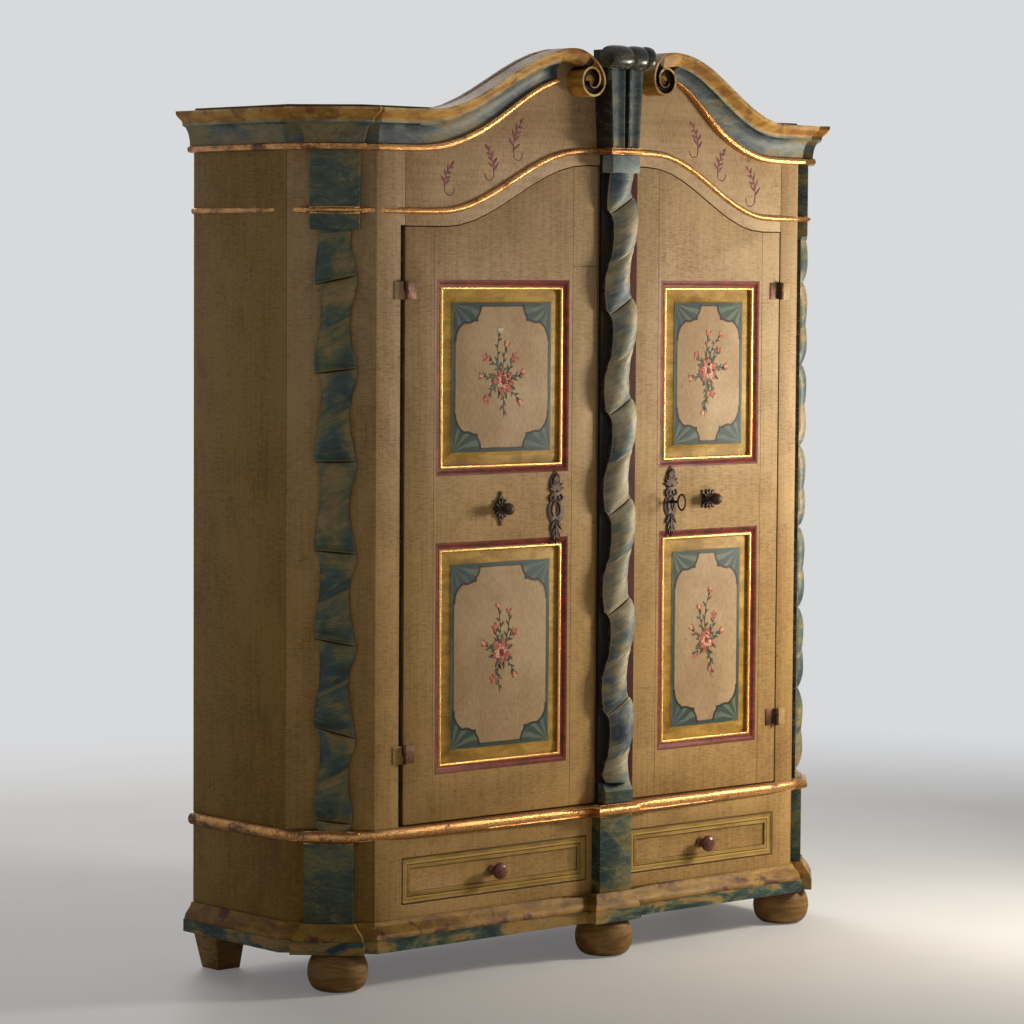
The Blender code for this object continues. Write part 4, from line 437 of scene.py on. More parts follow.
# %% [markdown]
# ## Bare wood
# Inside, behind and underneath, the spruce was left bare and has gone brown. Its rings run
# along the boards as broad soft bands with fine lines on them.


# %% Bare softwood
def bare_wood(name, pale, deep, grain=(26, 26, 1.6), gloss=0.62):
    finish = Finish(name)
    band = finish.noise(grain, 3, 0.55, 1.2)
    hair = finish.noise([part * 7 for part in grain], 6, 0.7)
    stain = finish.noise((4, 4, 3), 5, 0.65).rise(0.5, 0.75)
    ring = (band * 34).sine() * 0.5 + 0.5
    tone = ring * 0.45 + hair.rise(0.35, 0.68) * 0.4
    colour = finish.mix(tone.rise(0.1, 0.85), pale, deep)
    colour = finish.mix(stain * 0.45, colour, [part * 0.5 for part in deep])
    return finish.coat(colour, gloss + hair * 0.15, hair * 0.6 - ring * 0.3, 0.0008,
                       shine=0.5 if gloss < 0.3 else 0.2)


inner_wood = bare_wood("inner_wood", paint(150, 112, 72), paint(104, 72, 42))
level_wood = bare_wood("level_wood", paint(146, 110, 70), paint(100, 70, 42), (1.6, 26, 26))
foot_wood = bare_wood("foot_wood", paint(150, 116, 70), paint(116, 84, 46), (4, 4, 22), 0.5)
knob_wood = bare_wood("polished_knob_wood", paint(128, 62, 40), paint(78, 34, 22),
                      (20, 6, 20), 0.22)
print("bare woods:", inner_wood.name, foot_wood.name)

# %% [markdown]
# ## Painted marble
# Pilasters, blocks, cornice cove and console imitate blue-green marble with olive and ochre
# clouds. The painter laid wet colours side by side and pulled dark feathery veins through
# them on a slant. Clouds from one noise pick the colour, and the ridges of three others,
# laid on the same slant, make the veins.


# %% Marbling
def marbling(name, stops, scale=7.0, veins=0.9, gloss=0.34, turn=45):
    """Clouds of the stops' colours with veins; scale is clouds in a metre, turn in degrees."""
    finish = Finish(name)

    def waves(wide, high, *more):
        sizes = (scale * wide, scale * wide, scale * high)
        return finish.noise(sizes, *more, turn=(0, math.radians(turn), 0))

    cloud = waves(1, 2.2, 5, 0.6, 0.9)
    feather = waves(2.5, 9, 7, 0.72, 1.4)
    vein = abs(feather - 0.5).rise(0.03, 0.0) * veins
    broad = abs(waves(1, 3, 4, 0.6, 1.5) - 0.47).rise(0.022, 0.004) * veins
    pale_vein = abs(waves(2, 6, 5, 0.7, 0.6) - 0.56).rise(0.02, 0.0)
    chip = finish.noise((90, 90, 60), 4, 0.7).rise(0.67, 0.72)
    grain = finish.noise((160, 160, 7), 5, 0.6)
    colour = finish.glaze(finish.ramp(cloud + (feather - 0.5) * 0.25, *stops),
                          (pale_vein * 0.35, paint(150, 162, 140)),
                          (vein * 0.7, paint(22, 38, 44)), (broad, paint(16, 26, 32)),
                          (chip * 0.7, paint(120, 92, 56)))
    return finish.coat(colour, gloss + chip * 0.3 + (grain - 0.5) * 0.15, grain * 0.4 - chip,
                       0.0007, shine=0.32)


print("marbling is laid by", marbling.__name__)

# %% Marblings of the case
COVE_STOPS = ((0.34, paint(32, 40, 44)), (0.43, paint(58, 70, 74)), (0.50, paint(88, 96, 90)),
              (0.56, paint(120, 108, 74)), (0.70, paint(142, 118, 72)))
# Near-black marbling is painted shade: it darkens the post's rebate, the console's left side and
# middle flute, and the twists' side walls.
SHADE_BLACK_STOPS = ((0.35, paint(16, 12, 9)), (0.50, paint(28, 23, 16)), (0.70, paint(42, 35, 24)))
FLUTE_STOPS = ((0.30, paint(40, 46, 50)), (0.44, paint(70, 80, 84)), (0.56, paint(104, 108, 102)),
               (0.70, paint(136, 122, 86)))
SMOKE_STOPS = ((0.34, paint(22, 18, 14)), (0.47, paint(46, 42, 30)), (0.57, paint(88, 82, 54)),
               (0.72, paint(118, 102, 66)))
LIGHT_STOPS = ((0.30, paint(92, 106, 110)), (0.50, paint(124, 136, 136)),
               (0.70, paint(152, 154, 138)))
BLOCK_STOPS = ((0.30, paint(24, 36, 34)), (0.43, paint(44, 62, 54)), (0.52, paint(78, 86, 58)),
               (0.60, paint(116, 104, 56)), (0.75, paint(144, 120, 68)))
console_marble = marbling("console_marble", FLUTE_STOPS, 8.0, veins=0.3, gloss=0.36, turn=88)
roll_marble = marbling("roll_marble", SMOKE_STOPS, 14.0, veins=0.6, gloss=0.24, turn=80)
light_marble = marbling("light_marble", LIGHT_STOPS, 10.0, veins=0.25, gloss=0.55, turn=75)
night_marble = marbling("night_marble", SHADE_BLACK_STOPS, 9.0, veins=0.0, gloss=0.62)
cove_marble = marbling("cove_marble", COVE_STOPS, 4.5, veins=0.35, gloss=0.5, turn=60)
block_marble = marbling("block_marble", BLOCK_STOPS, 7.0, veins=0.5, turn=-40)
print("marblings:", block_marble.name, console_marble.name, cove_marble.name)


# %% The strips beside the middle pilaster
def strip_paint(name, split_x):
    """Black on the left of the pilaster, painted shade from the twist, and oxblood on its right,
    both uneven.
    """
    finish = Finish(name)
    x, = finish.axes(names="X")
    cloud = finish.noise((30, 30, 14), 5, 0.65)
    grain = finish.noise((150, 150, 8), 5, 0.6)
    # The black is painted shade where the twist's shadow falls.
    black = finish.mix(cloud.rise(0.4, 0.62), paint(18, 13, 9), paint(32, 24, 16))
    red = finish.mix(cloud.rise(0.4, 0.62), paint(74, 24, 18), paint(46, 18, 14))
    colour = finish.mix(x.rise(split_x - 0.0005, split_x + 0.0005), black, red)
    colour = finish.mix(grain.rise(0.64, 0.7) * 0.2, colour, paint(80, 60, 40))
    return finish.coat(colour, 0.68 + cloud * 0.1, grain, 0.0006)


batten_paint = strip_paint("batten_paint", 0.090)
print("strips:", batten_paint.name)

# %% [markdown]
# ## Ochre bands, red lines and gilding
# The cornice's fascia is ochre with brown-red strokes. The mouldings were gilded on red
# clay, and the gold has rubbed off in grains, so copper, bright gold and dark clay lie
# side by side. Gold leaf is metal, so its shine comes from the metallic socket.


# %% Ochre and gilt
def ochre_paint(name, pale, deep, dirt=paint(92, 50, 34), scale=14.0, spots=0.55):
    """Brushed earth colour with spots of dirt; scale is strokes in a metre."""
    finish = Finish(name)
    stroke = finish.noise((scale, scale, scale * 3), 6, 0.68, 0.6, (0, 0.5, 0))
    mottle = finish.noise((scale * 1.1, scale * 1.1, scale * 1.1), 3, 0.6, 0.4)
    hair = finish.noise((scale * 14, scale * 14, scale * 8), 4, 0.6)
    crackle = finish.noise((scale * 16, scale * 16, scale * 5), 4, 0.7)
    colour = finish.glaze(finish.mix(stroke.rise(0.35, 0.65), pale, deep),
                          (mottle.rise(0.56, 0.64) * spots, dirt),
                          (crackle.rise(0.56, 0.68) * 0.4, dirt),
                          (hair.rise(0.64, 0.7) * 0.6, paint(70, 46, 28)))
    return finish.coat(colour, 0.42 + mottle * 0.2, hair * 0.5 + stroke * 0.3, 0.0007)


# %% Gilding
def gilding(name, rubbed=0.5, golds=(paint(140, 82, 40), paint(212, 154, 84))):
    """Two golds in grains over red clay, which shows more towards the left end, with pale speckles
    that are partly painted glints.
    """
    finish = Finish(name)
    grit = finish.noise((210, 210, 260), 5, 0.75)
    fine = finish.noise((560, 560, 620), 3, 0.6)
    patch = finish.noise((16, 16, 22), 5, 0.7)
    x, = finish.axes(names="X")
    bare = patch * 0.6 + grit * 0.5 + x.rise(-0.5, -0.8) * 0.07
    bare = bare.rise(0.66 - 0.12 * rubbed, 0.76 - 0.12 * rubbed)
    clay = finish.mix(fine.rise(0.4, 0.6), paint(92, 44, 26), paint(46, 26, 16))
    # The pale-gold speckles are partly painted glints on the gold grains.
    colour = finish.glaze(finish.mix(grit.rise(0.38, 0.64), *golds),
                          (fine.rise(0.52, 0.62) * 0.7, paint(248, 214, 150)), (bare, clay))
    return finish.coat(colour, 0.3 + bare * 0.35 + (fine - 0.5) * 0.3,
                       grit + fine * 0.6 - bare * 0.5, 0.0012, 0.85 - bare * 0.75, 0.5)


# %% Colours of the mouldings
ochre = ochre_paint("ochre_fascia", paint(196, 150, 72), paint(146, 98, 42))
ochre_worn = ochre_paint("ochre_worn_edge", paint(222, 190, 120), paint(150, 108, 60))
fillet_paint = ochre_paint("pale_fillet", paint(168, 166, 140), paint(112, 116, 92), spots=0.3)
channel_paint = ochre_paint("dark_channel", paint(60, 38, 20), paint(36, 22, 12),
                            paint(24, 14, 8))
eye_paint = ochre_paint("pale_eye", paint(206, 186, 140), paint(160, 130, 80), spots=0.3)
red_paint = ochre_paint("red_moulding", paint(134, 54, 38), paint(98, 34, 22),
                        paint(56, 26, 18), 18, 0.45)
yellow_paint = ochre_paint("yellow_bevel", paint(190, 152, 66), paint(150, 114, 42),
                           paint(104, 74, 36), 12, 0.3)
gilt = gilding("gilt")
bright_gilt = gilding("bright_gilt", 0.0, (paint(196, 130, 58), paint(244, 196, 112)))
print("ochres and gilding:", ochre.name, gilt.name, bright_gilt.name)

# %% [markdown]
# ## Iron
# Pulls, scutcheons, hinges and key are hammered iron, brown-black with age, with a little
# rust in the hollows and a dull shine on what hands have rubbed.


# %% Old iron
def old_iron(name, pale, deep, rust):
    finish = Finish(name)
    cloud = finish.noise((40, 40, 40), 6, 0.7)
    pit = finish.noise((260, 260, 260), 4, 0.6)
    colour = finish.mix(cloud.rise(0.36, 0.64), pale, deep)
    colour = finish.mix(pit.rise(0.56, 0.68) * 0.7, colour, rust)
    return finish.coat(colour, 0.42 + pit * 0.25, pit * 0.6 + cloud * 0.5, 0.0009,
                       0.7 - cloud * 0.3, 0.5)


iron = old_iron("old_iron", paint(80, 62, 48), paint(40, 31, 25), paint(92, 56, 34))
rusty_iron = old_iron("rusty_iron", paint(110, 72, 46), paint(58, 38, 27), paint(132, 78, 42))
print("irons:", iron.name, rusty_iron.name)

# %% [markdown]
# ## Shaping a copy of a board
# A real board has no razor edges: the plane, then two centuries of hands, rounded them. A
# copy of the frame's mesh is merged, its flat faces are joined again, and a small bevel is
# run round it. For carved and turned work the copy is subdivided instead, with its sharp
# edges creased, so that the curves become smooth and the arrises stay crisp.

# %% Picking and editing
def pick_only(piece):
    bpy.ops.object.select_all(action="DESELECT")
    piece.select_set(True)
    bpy.context.view_layer.objects.active = piece


def edit_all(piece):
    pick_only(piece)
    bpy.ops.object.mode_set(mode="EDIT")
    bpy.ops.mesh.select_all(action="SELECT")


def leave_edit():
    bpy.ops.object.mode_set(mode="OBJECT")


def face_outwards(piece):
    edit_all(piece)
    bpy.ops.mesh.normals_make_consistent(inside=False)
    leave_edit()


def shade_smooth(piece, angle):
    """Smooth shading, but for edges sharper than an angle in degrees."""
    pick_only(piece)
    bpy.ops.object.shade_smooth_by_angle(angle=math.radians(angle))


# %% Copying a node
MERGE = 0.00002


def copy_of(node, name=None):
    """A merged copy of a CAD node, free to be shaped until it is handed over."""
    source = frame["nodes"][node]
    pick_only(source)
    bpy.ops.object.duplicate()
    piece = bpy.context.active_object
    del piece["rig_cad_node"]
    piece.name = name or node + "_finished"
    bpy.ops.object.parent_clear(type="CLEAR_KEEP_TRANSFORM")
    bpy.ops.mesh.customdata_custom_splitnormals_clear()
    edit_all(piece)
    bpy.ops.mesh.remove_doubles(threshold=MERGE)
    bpy.ops.mesh.mark_sharp(clear=True)
    leave_edit()
    return piece


def source_body(node):
    return frame["nodes"][node]["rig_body"]


def hand_over(piece, node):
    """The piece rides where the node did and stands for it."""
    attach(piece, source_body(node))
    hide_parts(node)
    return piece


print("copies merge points within", MERGE, "m")


# %% Painting, softening and rounding
def apply_all(piece):
    pick_only(piece)
    for modifier in list(piece.modifiers):
        bpy.ops.object.modifier_apply(modifier=modifier.name)


def paint_faces(piece, finishes, choose=None):
    """Give each face the finish that choose(middle, normal) names by its number."""
    piece.data.materials.clear()
    for finish in finishes:
        piece.data.materials.append(finish)
    for face in piece.data.polygons:
        face.material_index = choose(face.center, face.normal) if choose else 0


def soften_board(piece, width=0.0016):
    """Join the flat faces again and round the edges a little."""
    edit_all(piece)
    bpy.ops.mesh.dissolve_limited(angle_limit=math.radians(0.5), delimit={"MATERIAL"})
    leave_edit()
    bevel = piece.modifiers.new("worn_edges", "BEVEL")
    bevel.width = width
    bevel.segments = 2
    bevel.limit_method = "ANGLE"
    bevel.angle_limit = math.radians(40)
    bevel.harden_normals = False
    apply_all(piece)
    shade_smooth(piece, 32)


def round_carving(piece, levels, sharp):
    """Make quads again, crease edges sharper than an angle and subdivide the rest smooth."""
    edit_all(piece)
    bpy.ops.mesh.tris_convert_to_quads(face_threshold=math.radians(60),
                                       shape_threshold=math.radians(180))
    bpy.ops.mesh.select_all(action="DESELECT")
    bpy.ops.mesh.select_mode(type="EDGE")
    bpy.ops.mesh.edges_select_sharp(sharpness=math.radians(sharp))
    bpy.ops.transform.edge_crease(value=1)
    leave_edit()
    smooth = piece.modifiers.new("rounding", "SUBSURF")
    smooth.levels = smooth.render_levels = levels
    apply_all(piece)
    shade_smooth(piece, 36)


def finish_carving(node, finishes, levels, sharp, choose=None):
    piece = copy_of(node)
    paint_faces(piece, finishes, choose)
    round_carving(piece, levels, sharp)
    return hand_over(piece, node)


print("boards are softened, carvings rounded")

# %% [markdown]
# ## The case
# Sides, posts and frieze are painted outside and bare inside, so each face of a copy is
# given paint or wood by the way it looks. The frieze's boards run across, so its grain does
# too. Beside the left door a box cuts a rebate out of the post, and the rebate is painted
# near-black as painted shade.


# %% Inside and outside of a board
SIDE_INNER = 0.793  # a face further out than this belongs to a side's outer face


def outside(middle, normal):
    """0 for a painted outer face, 1 for a bare one."""
    cant = abs(middle.x) - middle.y - CANT_REACH
    seen_in_front = normal.y < -0.3 and middle.y < FRONT_Y + 0.004
    seen_at_side = abs(middle.x) > SIDE_INNER and normal.x * middle.x > 0.3
    seen_on_cant = cant > -0.004 and normal.y < -0.3 and normal.x * middle.x > 0
    return 0 if seen_in_front or seen_at_side or seen_on_cant else 1


def finish_board(node, finishes, choose=outside, width=0.0016):
    piece = copy_of(node)
    paint_faces(piece, finishes, choose)
    soften_board(piece, width)
    return hand_over(piece, node)


def add_box(low, high):
    """A box between two corners, as a start for a board or as a cutter."""
    bpy.ops.mesh.primitive_cube_add(size=1, location=[(a + b) / 2 for a, b in zip(low, high)],
                                    scale=[b - a for a, b in zip(low, high)])
    return bpy.context.active_object


def cut_groove(piece, low, high):
    """Take a box out of a board, as with a rebate plane."""
    cutter = add_box(low, high)
    cut = piece.modifiers.new("groove", "BOOLEAN")
    cut.operation = "DIFFERENCE"
    cut.object = cutter
    apply_all(piece)
    bpy.data.objects.remove(cutter)


# %% Boards of the case
REBATE = (-0.5868, FRONT_Y - 0.001, 0.3545), (-0.570, FRONT_Y + 0.0085, 1.687)


def on_post(middle, normal):
    # The rebate's faces get the near-black marbling: painted shade in the rebate.
    in_rebate = FRONT_Y + 0.0005 < middle.y < FRONT_Y + 0.009 and middle.x > REBATE[0][0] - 0.0012
    return 2 if in_rebate else outside(middle, normal)


for side in SIDES:
    finish_board(f"side_{side}", (side_paint, inner_wood))
post = copy_of("front_post_left")
cut_groove(post, *REBATE)
paint_faces(post, (body_paint, inner_wood, night_marble), on_post)
soften_board(post, 0.0012)
hand_over(post, "front_post_left")
finish_board("front_post_right", (body_paint, inner_wood))
finish_board("frieze", (frieze_paint, level_wood))
for node in ("back_panel", "base_back"):
    finish_board(node, (inner_wood,), None)
for node in ("case_floor", "roof", "hat_shelf", "drawer_bed"):
    finish_board(node, (level_wood,), None)
finish_board("clothes_rail", (level_wood,), None, 0.0008)
print("case boards finished")


# %% [markdown]
# ## The base
# The base is painted like the case, and its pedestals, which stand proud of the canted
# corners and of the middle, are marbled.

# %% Base and pedestals
def on_base(middle, normal):
    proud = abs(middle.x) - middle.y - CANT_REACH > 0.002 and abs(middle.x) > 0.66
    return 2 if proud else outside(middle, normal)


def on_drawer_frame(middle, normal):
    return 2 if middle.y < FRONT_Y - 0.001 else outside(middle, normal)


for node in ("base_left", "base_right"):
    finish_board(node, (side_paint, inner_wood, block_marble), on_base)
finish_board("drawer_frame", (body_paint, inner_wood, block_marble), on_drawer_frame)
print("base finished")


# %% [markdown]
# ## The plinth moulding
# Its low fascia is marbled in patches and the hollow above is ochre with reddish mottles.
# It breaks forward under the middle pedestal, and the points of the break are drawn in, so
# that it is as narrow as on the real one. The two gilded beads are finished with it.

# %% Plinth and beads
PATCH_STOPS = ((0.40, paint(24, 44, 48)), (0.47, paint(50, 76, 70)), (0.51, paint(104, 108, 66)),
               (0.55, paint(156, 124, 64)), (0.66, paint(176, 136, 76)))
plinth_marble = marbling("plinth_marble", PATCH_STOPS, 6.5, veins=0.25, turn=88)
plinth_ochre = ochre_paint("plinth_ochre", paint(172, 132, 62), paint(118, 84, 38),
                           paint(84, 42, 38), 13, 0.9)
FASCIA_TOP = 0.1135
BREAK_RIGHT = 0.096  # right side of the middle pedestal

plinth = copy_of("plinth_moulding")
for point in plinth.data.vertices:
    past = point.co.x - BREAK_RIGHT
    if point.co.y < FRONT_Y + 0.02 and -0.004 < past < 0.06:
        point.co.x = BREAK_RIGHT + past * 0.25
    elif point.co.y < FRONT_Y + 0.02 and -0.07 < point.co.x < 0.0:
        point.co.x -= 0.008
paint_faces(plinth, (plinth_marble, plinth_ochre),
            lambda middle, normal: 0 if middle.z < FASCIA_TOP else 1)
round_carving(plinth, 1, 30)
hand_over(plinth, "plinth_moulding")
for node in ("waist_moulding", "frieze_bead"):
    finish_carving(node, (gilt,), 1, 50)
print("plinth and beads finished")

# %% [markdown]
# ## The cornice
# One moulding runs along the side, round the corner block and up the swan neck. Its bands
# are told apart by how far a face lies below the top line, measured square to the curve:
# ochre fascia, thin pale fillet, marbled cove, gilded bead.

# %% Cornice
COVE_SHARE_AT_CREST = {-1: 0.76, 1: 0.55}


def cornice_band(middle, normal):
    step = 0.002
    top = cornice_line(middle.x)
    slope = (cornice_line(middle.x + step) - cornice_line(middle.x - step)) / (2 * step)
    below = (top - middle.z) / math.hypot(1, slope)
    climbed = (top - CORNICE_LOW) / CORNICE_CLIMB
    crest_share = COVE_SHARE_AT_CREST[-1 if middle.x < CREST_X else 1]
    share = 1 - (1 - crest_share) * max(0, climbed - 0.30) / 0.70
    under = (below - 0.027) / share
    if under < 0:
        return 4 if below < 0.004 and normal.z < 0.5 else 0
    if under < 0.0055:
        return 1
    return 2 if under < 0.0485 else 3


CORNICE_FINISHES = (ochre, fillet_paint, cove_marble, gilt, ochre_worn)
for side in SIDES:
    finish_carving(f"cornice_{side}", CORNICE_FINISHES, 2, 24, cornice_band)
print("cornice finished")


# %% [markdown]
# ## Scrolls, console and roll
# The cornice's fascia curls into a carved scroll on each side of the fluted console. The
# rim is ochre, the sunk channel is painted dark brown and the eye is a pale button. The
# console's left side and middle flute are painted near-black, as painted shade.

# %% Pediment carvings
SCROLL_EYES = ((CREST_X - 0.113, 2.0195), (CREST_X + 0.115, 2.028))


def scroll_band(middle, normal):
    out = FRONT_Y - middle.y
    reach = min(math.hypot(middle.x - x, middle.z - z) for x, z in SCROLL_EYES)
    if reach > 0.044:
        return 0
    if normal.y > -0.8:
        return 1 if reach < 0.034 else 0
    if out > 0.0525:
        return 3
    return 2 if out > 0.0475 else (1 if out < 0.0455 and out > 0.03 else 0)


def on_console(middle, normal):
    # The left side and the middle flute get the near-black marbling: painted shade.
    return 1 if normal.x < -0.8 or abs(middle.x - CREST_X) < 0.006 else 0


for side in SIDES:
    finish_carving(f"scroll_{side}", (ochre, channel_paint, eye_paint, ochre_worn), 1, 40,
                   scroll_band)
finish_carving("console", (console_marble, night_marble), 2, 50, on_console)
print("scrolls and console finished")


# %% [markdown]
# ## The roll
# A turned roll with three fat rings lies on the console like a folded cloth. Rings that
# full need more sections than the frame's own roll has, so it is turned anew: a disc is
# drawn out section by section, each as wide as the profile is there, and laid on its side.

# %% The roll, turned anew
def make_roll(name, low, high, lobes):
    """Turn a closed profile of rounded lobes about the roll's own axis."""
    middle, radius = (low + high) / 2, (high.z - low.z) / 2
    bpy.ops.mesh.primitive_circle_add(vertices=48, radius=radius * 0.5, fill_type="TRIFAN")
    piece = bpy.context.active_object
    piece.name = name
    steps = [(0.0, 0.86)]
    for first, last in zip(lobes, lobes[1:]):
        for share in (i / 10 for i in range(1, 11)):
            steps.append((first + (last - first) * share,
                          0.87 + 0.13 * math.sin(math.pi * share) ** 0.5))
    edit_all(piece)
    for place, fullness in steps:
        bpy.ops.mesh.extrude_region_move(TRANSFORM_OT_translate={"value": (0, 0, 0)})
        leave_edit()
        for point in piece.data.vertices:
            if point.select:
                reach = math.hypot(point.co.x, point.co.y)
                if reach > 1e-6:
                    point.co.x *= radius * fullness / reach
                    point.co.y *= radius * fullness / reach
                point.co.z = place * (high.x - low.x)
        bpy.ops.object.mode_set(mode="EDIT")
    bpy.ops.mesh.select_all(action="SELECT")
    bpy.ops.mesh.remove_doubles(threshold=1e-6)
    bpy.ops.mesh.normals_make_consistent(inside=False)
    leave_edit()
    piece.rotation_euler = (0, math.pi / 2, 0)
    piece.location = (low.x, middle.y, middle.z)
    bpy.ops.object.transform_apply(location=True, rotation=True, scale=True)
    paint_faces(piece, (roll_marble,))
    shade_smooth(piece, 36)
    return piece


RING_GROOVES = (0.0, 0.47, 0.82, 1.0)  # shares of the roll's length
roll = make_roll("turned_roll", *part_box("console_roll"), RING_GROOVES)
hand_over(roll, "console_roll")
print("pediment finished")


# %% [markdown]
# ## The twisted pilasters
# Each was carved from one board: leaning lobes that sway from side to side and meet in a
# sharp crease. A bend or a twist modifier would turn the whole board, and the real one
# stays flat on its back, so a grid is laid out row by row instead, with its rows close
# together at the creases, and then drawn out into lobes.

# %% Shape of the lobes
LOBE_STEPS = (0.0, 0.03, 0.07, 0.13, 0.22, 0.34, 0.5, 0.66, 0.78, 0.87, 0.93, 0.97)
TWIST_COLUMNS = 14
RIM, CALM, CALM_HALF = 0.009, 0.05, 0.036  # depth at the rim; both ends run out plain
# Each row of "edges": share of a turn above the sharp crease, left and right edge in mm
CORNER_TWIST = {
    "pitch": 0.1985, "level": 1.565, "low": 0.3558, "high": 1.6754,
    "crown": 0.027, "lean": (0.22, 0.5), "drift": 0.5,
    "edges": ((0, -45, 48), (0.12, -46, 43), (0.3, -43.5, 35), (0.45, -39, 32.8),
              (0.6, -33, 36.5), (0.78, -30.5, 45), (0.92, -32, 48.8), (0.98, -36, 49))}
CENTRE_TWIST = {
    "pitch": 0.2315, "level": 1.740, "low": 0.4052, "high": 1.8144,
    "crown": 0.033, "lean": (0.58, 0.54), "drift": 0.0,
    "edges": ((0, -34, 33), (0.08, -45, 28), (0.25, -50, 24), (0.4, -49, 29), (0.5, -39, 39),
              (0.58, -28, 46), (0.75, -23, 50), (0.9, -24, 48), (0.97, -29, 40))}


def twist_levels(form):
    """Heights of the rows of a twist, close together at its creases."""
    half, low, high = form["pitch"] / 2, form["low"], form["high"]
    first = math.floor((low - form["level"]) / half)
    count = int((high - low) / half) + 3
    heights = [form["level"] + half * (first + turn + step)
               for turn in range(count) for step in LOBE_STEPS]
    return [low] + [height for height in heights if low + 0.002 < height < high - 0.002] + [high]


def twist_edges(form, turn):
    """Left and right edge of the carving at a share of a turn, in metres."""
    rows = form["edges"] + ((1,) + form["edges"][0][1:],)
    for first, last in zip(rows, rows[1:]):
        if turn <= last[0]:
            share = ease((turn - first[0]) / (last[0] - first[0]))
            return [(a + (b - a) * share) / 1000 for a, b in zip(first[1:], last[1:])]


def twist_place(share, height, form):
    """How far across and out a point of the twist lies, and its height."""
    turn = ((height - form["level"]) / form["pitch"] + 1e-9) % 1
    calm = min(1, (height - form["low"]) / CALM, (form["high"] - height) / CALM)
    left, right = [edge * calm + (1 - calm) * rest
                   for edge, rest in zip(twist_edges(form, turn), (-CALM_HALF, CALM_HALF))]
    across = (left + right) / 2 + (right - left) / 2 * share
    lobe = max(math.sin(math.pi * ((2 * turn) % 1)), 0) ** 0.55
    fullness = lobe if turn < 0.25 or turn > 0.75 else 0.7 + 0.3 * lobe
    crown = RIM + (form["crown"] - RIM) * (1 - share ** 2) ** 0.7
    crease = min(0.010, crown)
    sharp, soft = form["lean"]
    sharp = max(sharp - form["drift"] * (form["level"] - height), -0.3)
    lean = sharp + (soft - sharp) * (1 - math.cos(math.tau * turn)) / 2
    return across, crease + (crown - crease) * fullness, height + lean * calm * across


print("rows in a corner twist:", len(twist_levels(CORNER_TWIST)))


# %% [markdown]
# ## Paint that follows the lobes
# The painter pulled wet colours along the lobes, so the pattern can't lie in space as the
# other marblings do. The carving gets its own map: across it from 0 to 1, and upwards by
# one for each lobe, so pale lips and a dark line of painted shade fall on the creases.

# %% Paint of the lobes
def twist_paint(name, stops, lip, gloss):
    """Wet colours pulled along the creases, with a pale lip and a dark line of painted shade at
    each crease.
    """
    finish = Finish(name)
    across, along = finish.axes(finish.node("ShaderNodeUVMap", {"uv_map": "twist"}), "XY")
    turn = (along * 0.5).fraction()
    lobe = along.fraction()
    cloud = finish.noise((10, 10, 9), 4, 0.58, 0.6)
    pulled = finish.node("ShaderNodeCombineXYZ", (), (across * 1.4 + cloud * 1.4, along * 6))
    streak = finish.noise(None, 6, 0.68, vector=pulled)
    fine = finish.node("ShaderNodeCombineXYZ", (), (across * 4 + cloud, along * 30))
    bristle = finish.noise(None, 5, 0.72, vector=fine)
    place = (cloud - 0.5) * 1.9 + (streak - 0.5) * 1.1 + 0.5 + (lobe - 0.5) * 0.24
    edge = lobe.least(1 - lobe)
    sharp = abs(turn - 0.5).rise(0.25, 0.45)
    rim = across.least(1 - across).rise(0.035, 0.01)
    chip = finish.noise((110, 110, 80), 4, 0.7).rise(0.64, 0.7)
    # The dark line at each crease is painted shade.
    colour = finish.glaze(finish.ramp(place, *stops),
                          (streak.rise(0.55, 0.68) * 0.5, stops[-1][1]),
                          (bristle.rise(0.52, 0.66) * 0.45, stops[0][1]),
                          (edge.rise(0.055, 0.035) * 0.6, lip),
                          (edge.rise(0.03, 0.012) * (sharp * 0.7 + 0.2), paint(30, 26, 20)),
                          (rim * 0.5, lip), (chip * 0.6, paint(120, 92, 56)))
    return finish.coat(colour, gloss + bristle * 0.2 + chip * 0.2,
                       bristle * 0.5 + streak * 0.5 - chip, 0.0009, shine=0.45)


GREEN_STOPS = ((0.12, paint(24, 38, 40)), (0.34, paint(44, 64, 58)), (0.50, paint(78, 86, 58)),
               (0.66, paint(118, 104, 60)), (0.84, paint(146, 120, 78)))
GREY_STOPS = ((0.12, paint(56, 66, 78)), (0.32, paint(96, 106, 110)), (0.48, paint(134, 134, 114)),
              (0.64, paint(166, 150, 112)), (0.82, paint(178, 172, 150)))
corner_paint = twist_paint("corner_marble", GREEN_STOPS, paint(140, 122, 80), 0.42)
centre_paint = twist_paint("centre_marble", GREY_STOPS, paint(190, 172, 132), 0.46)
print("twist paints:", corner_paint.name, centre_paint.name)


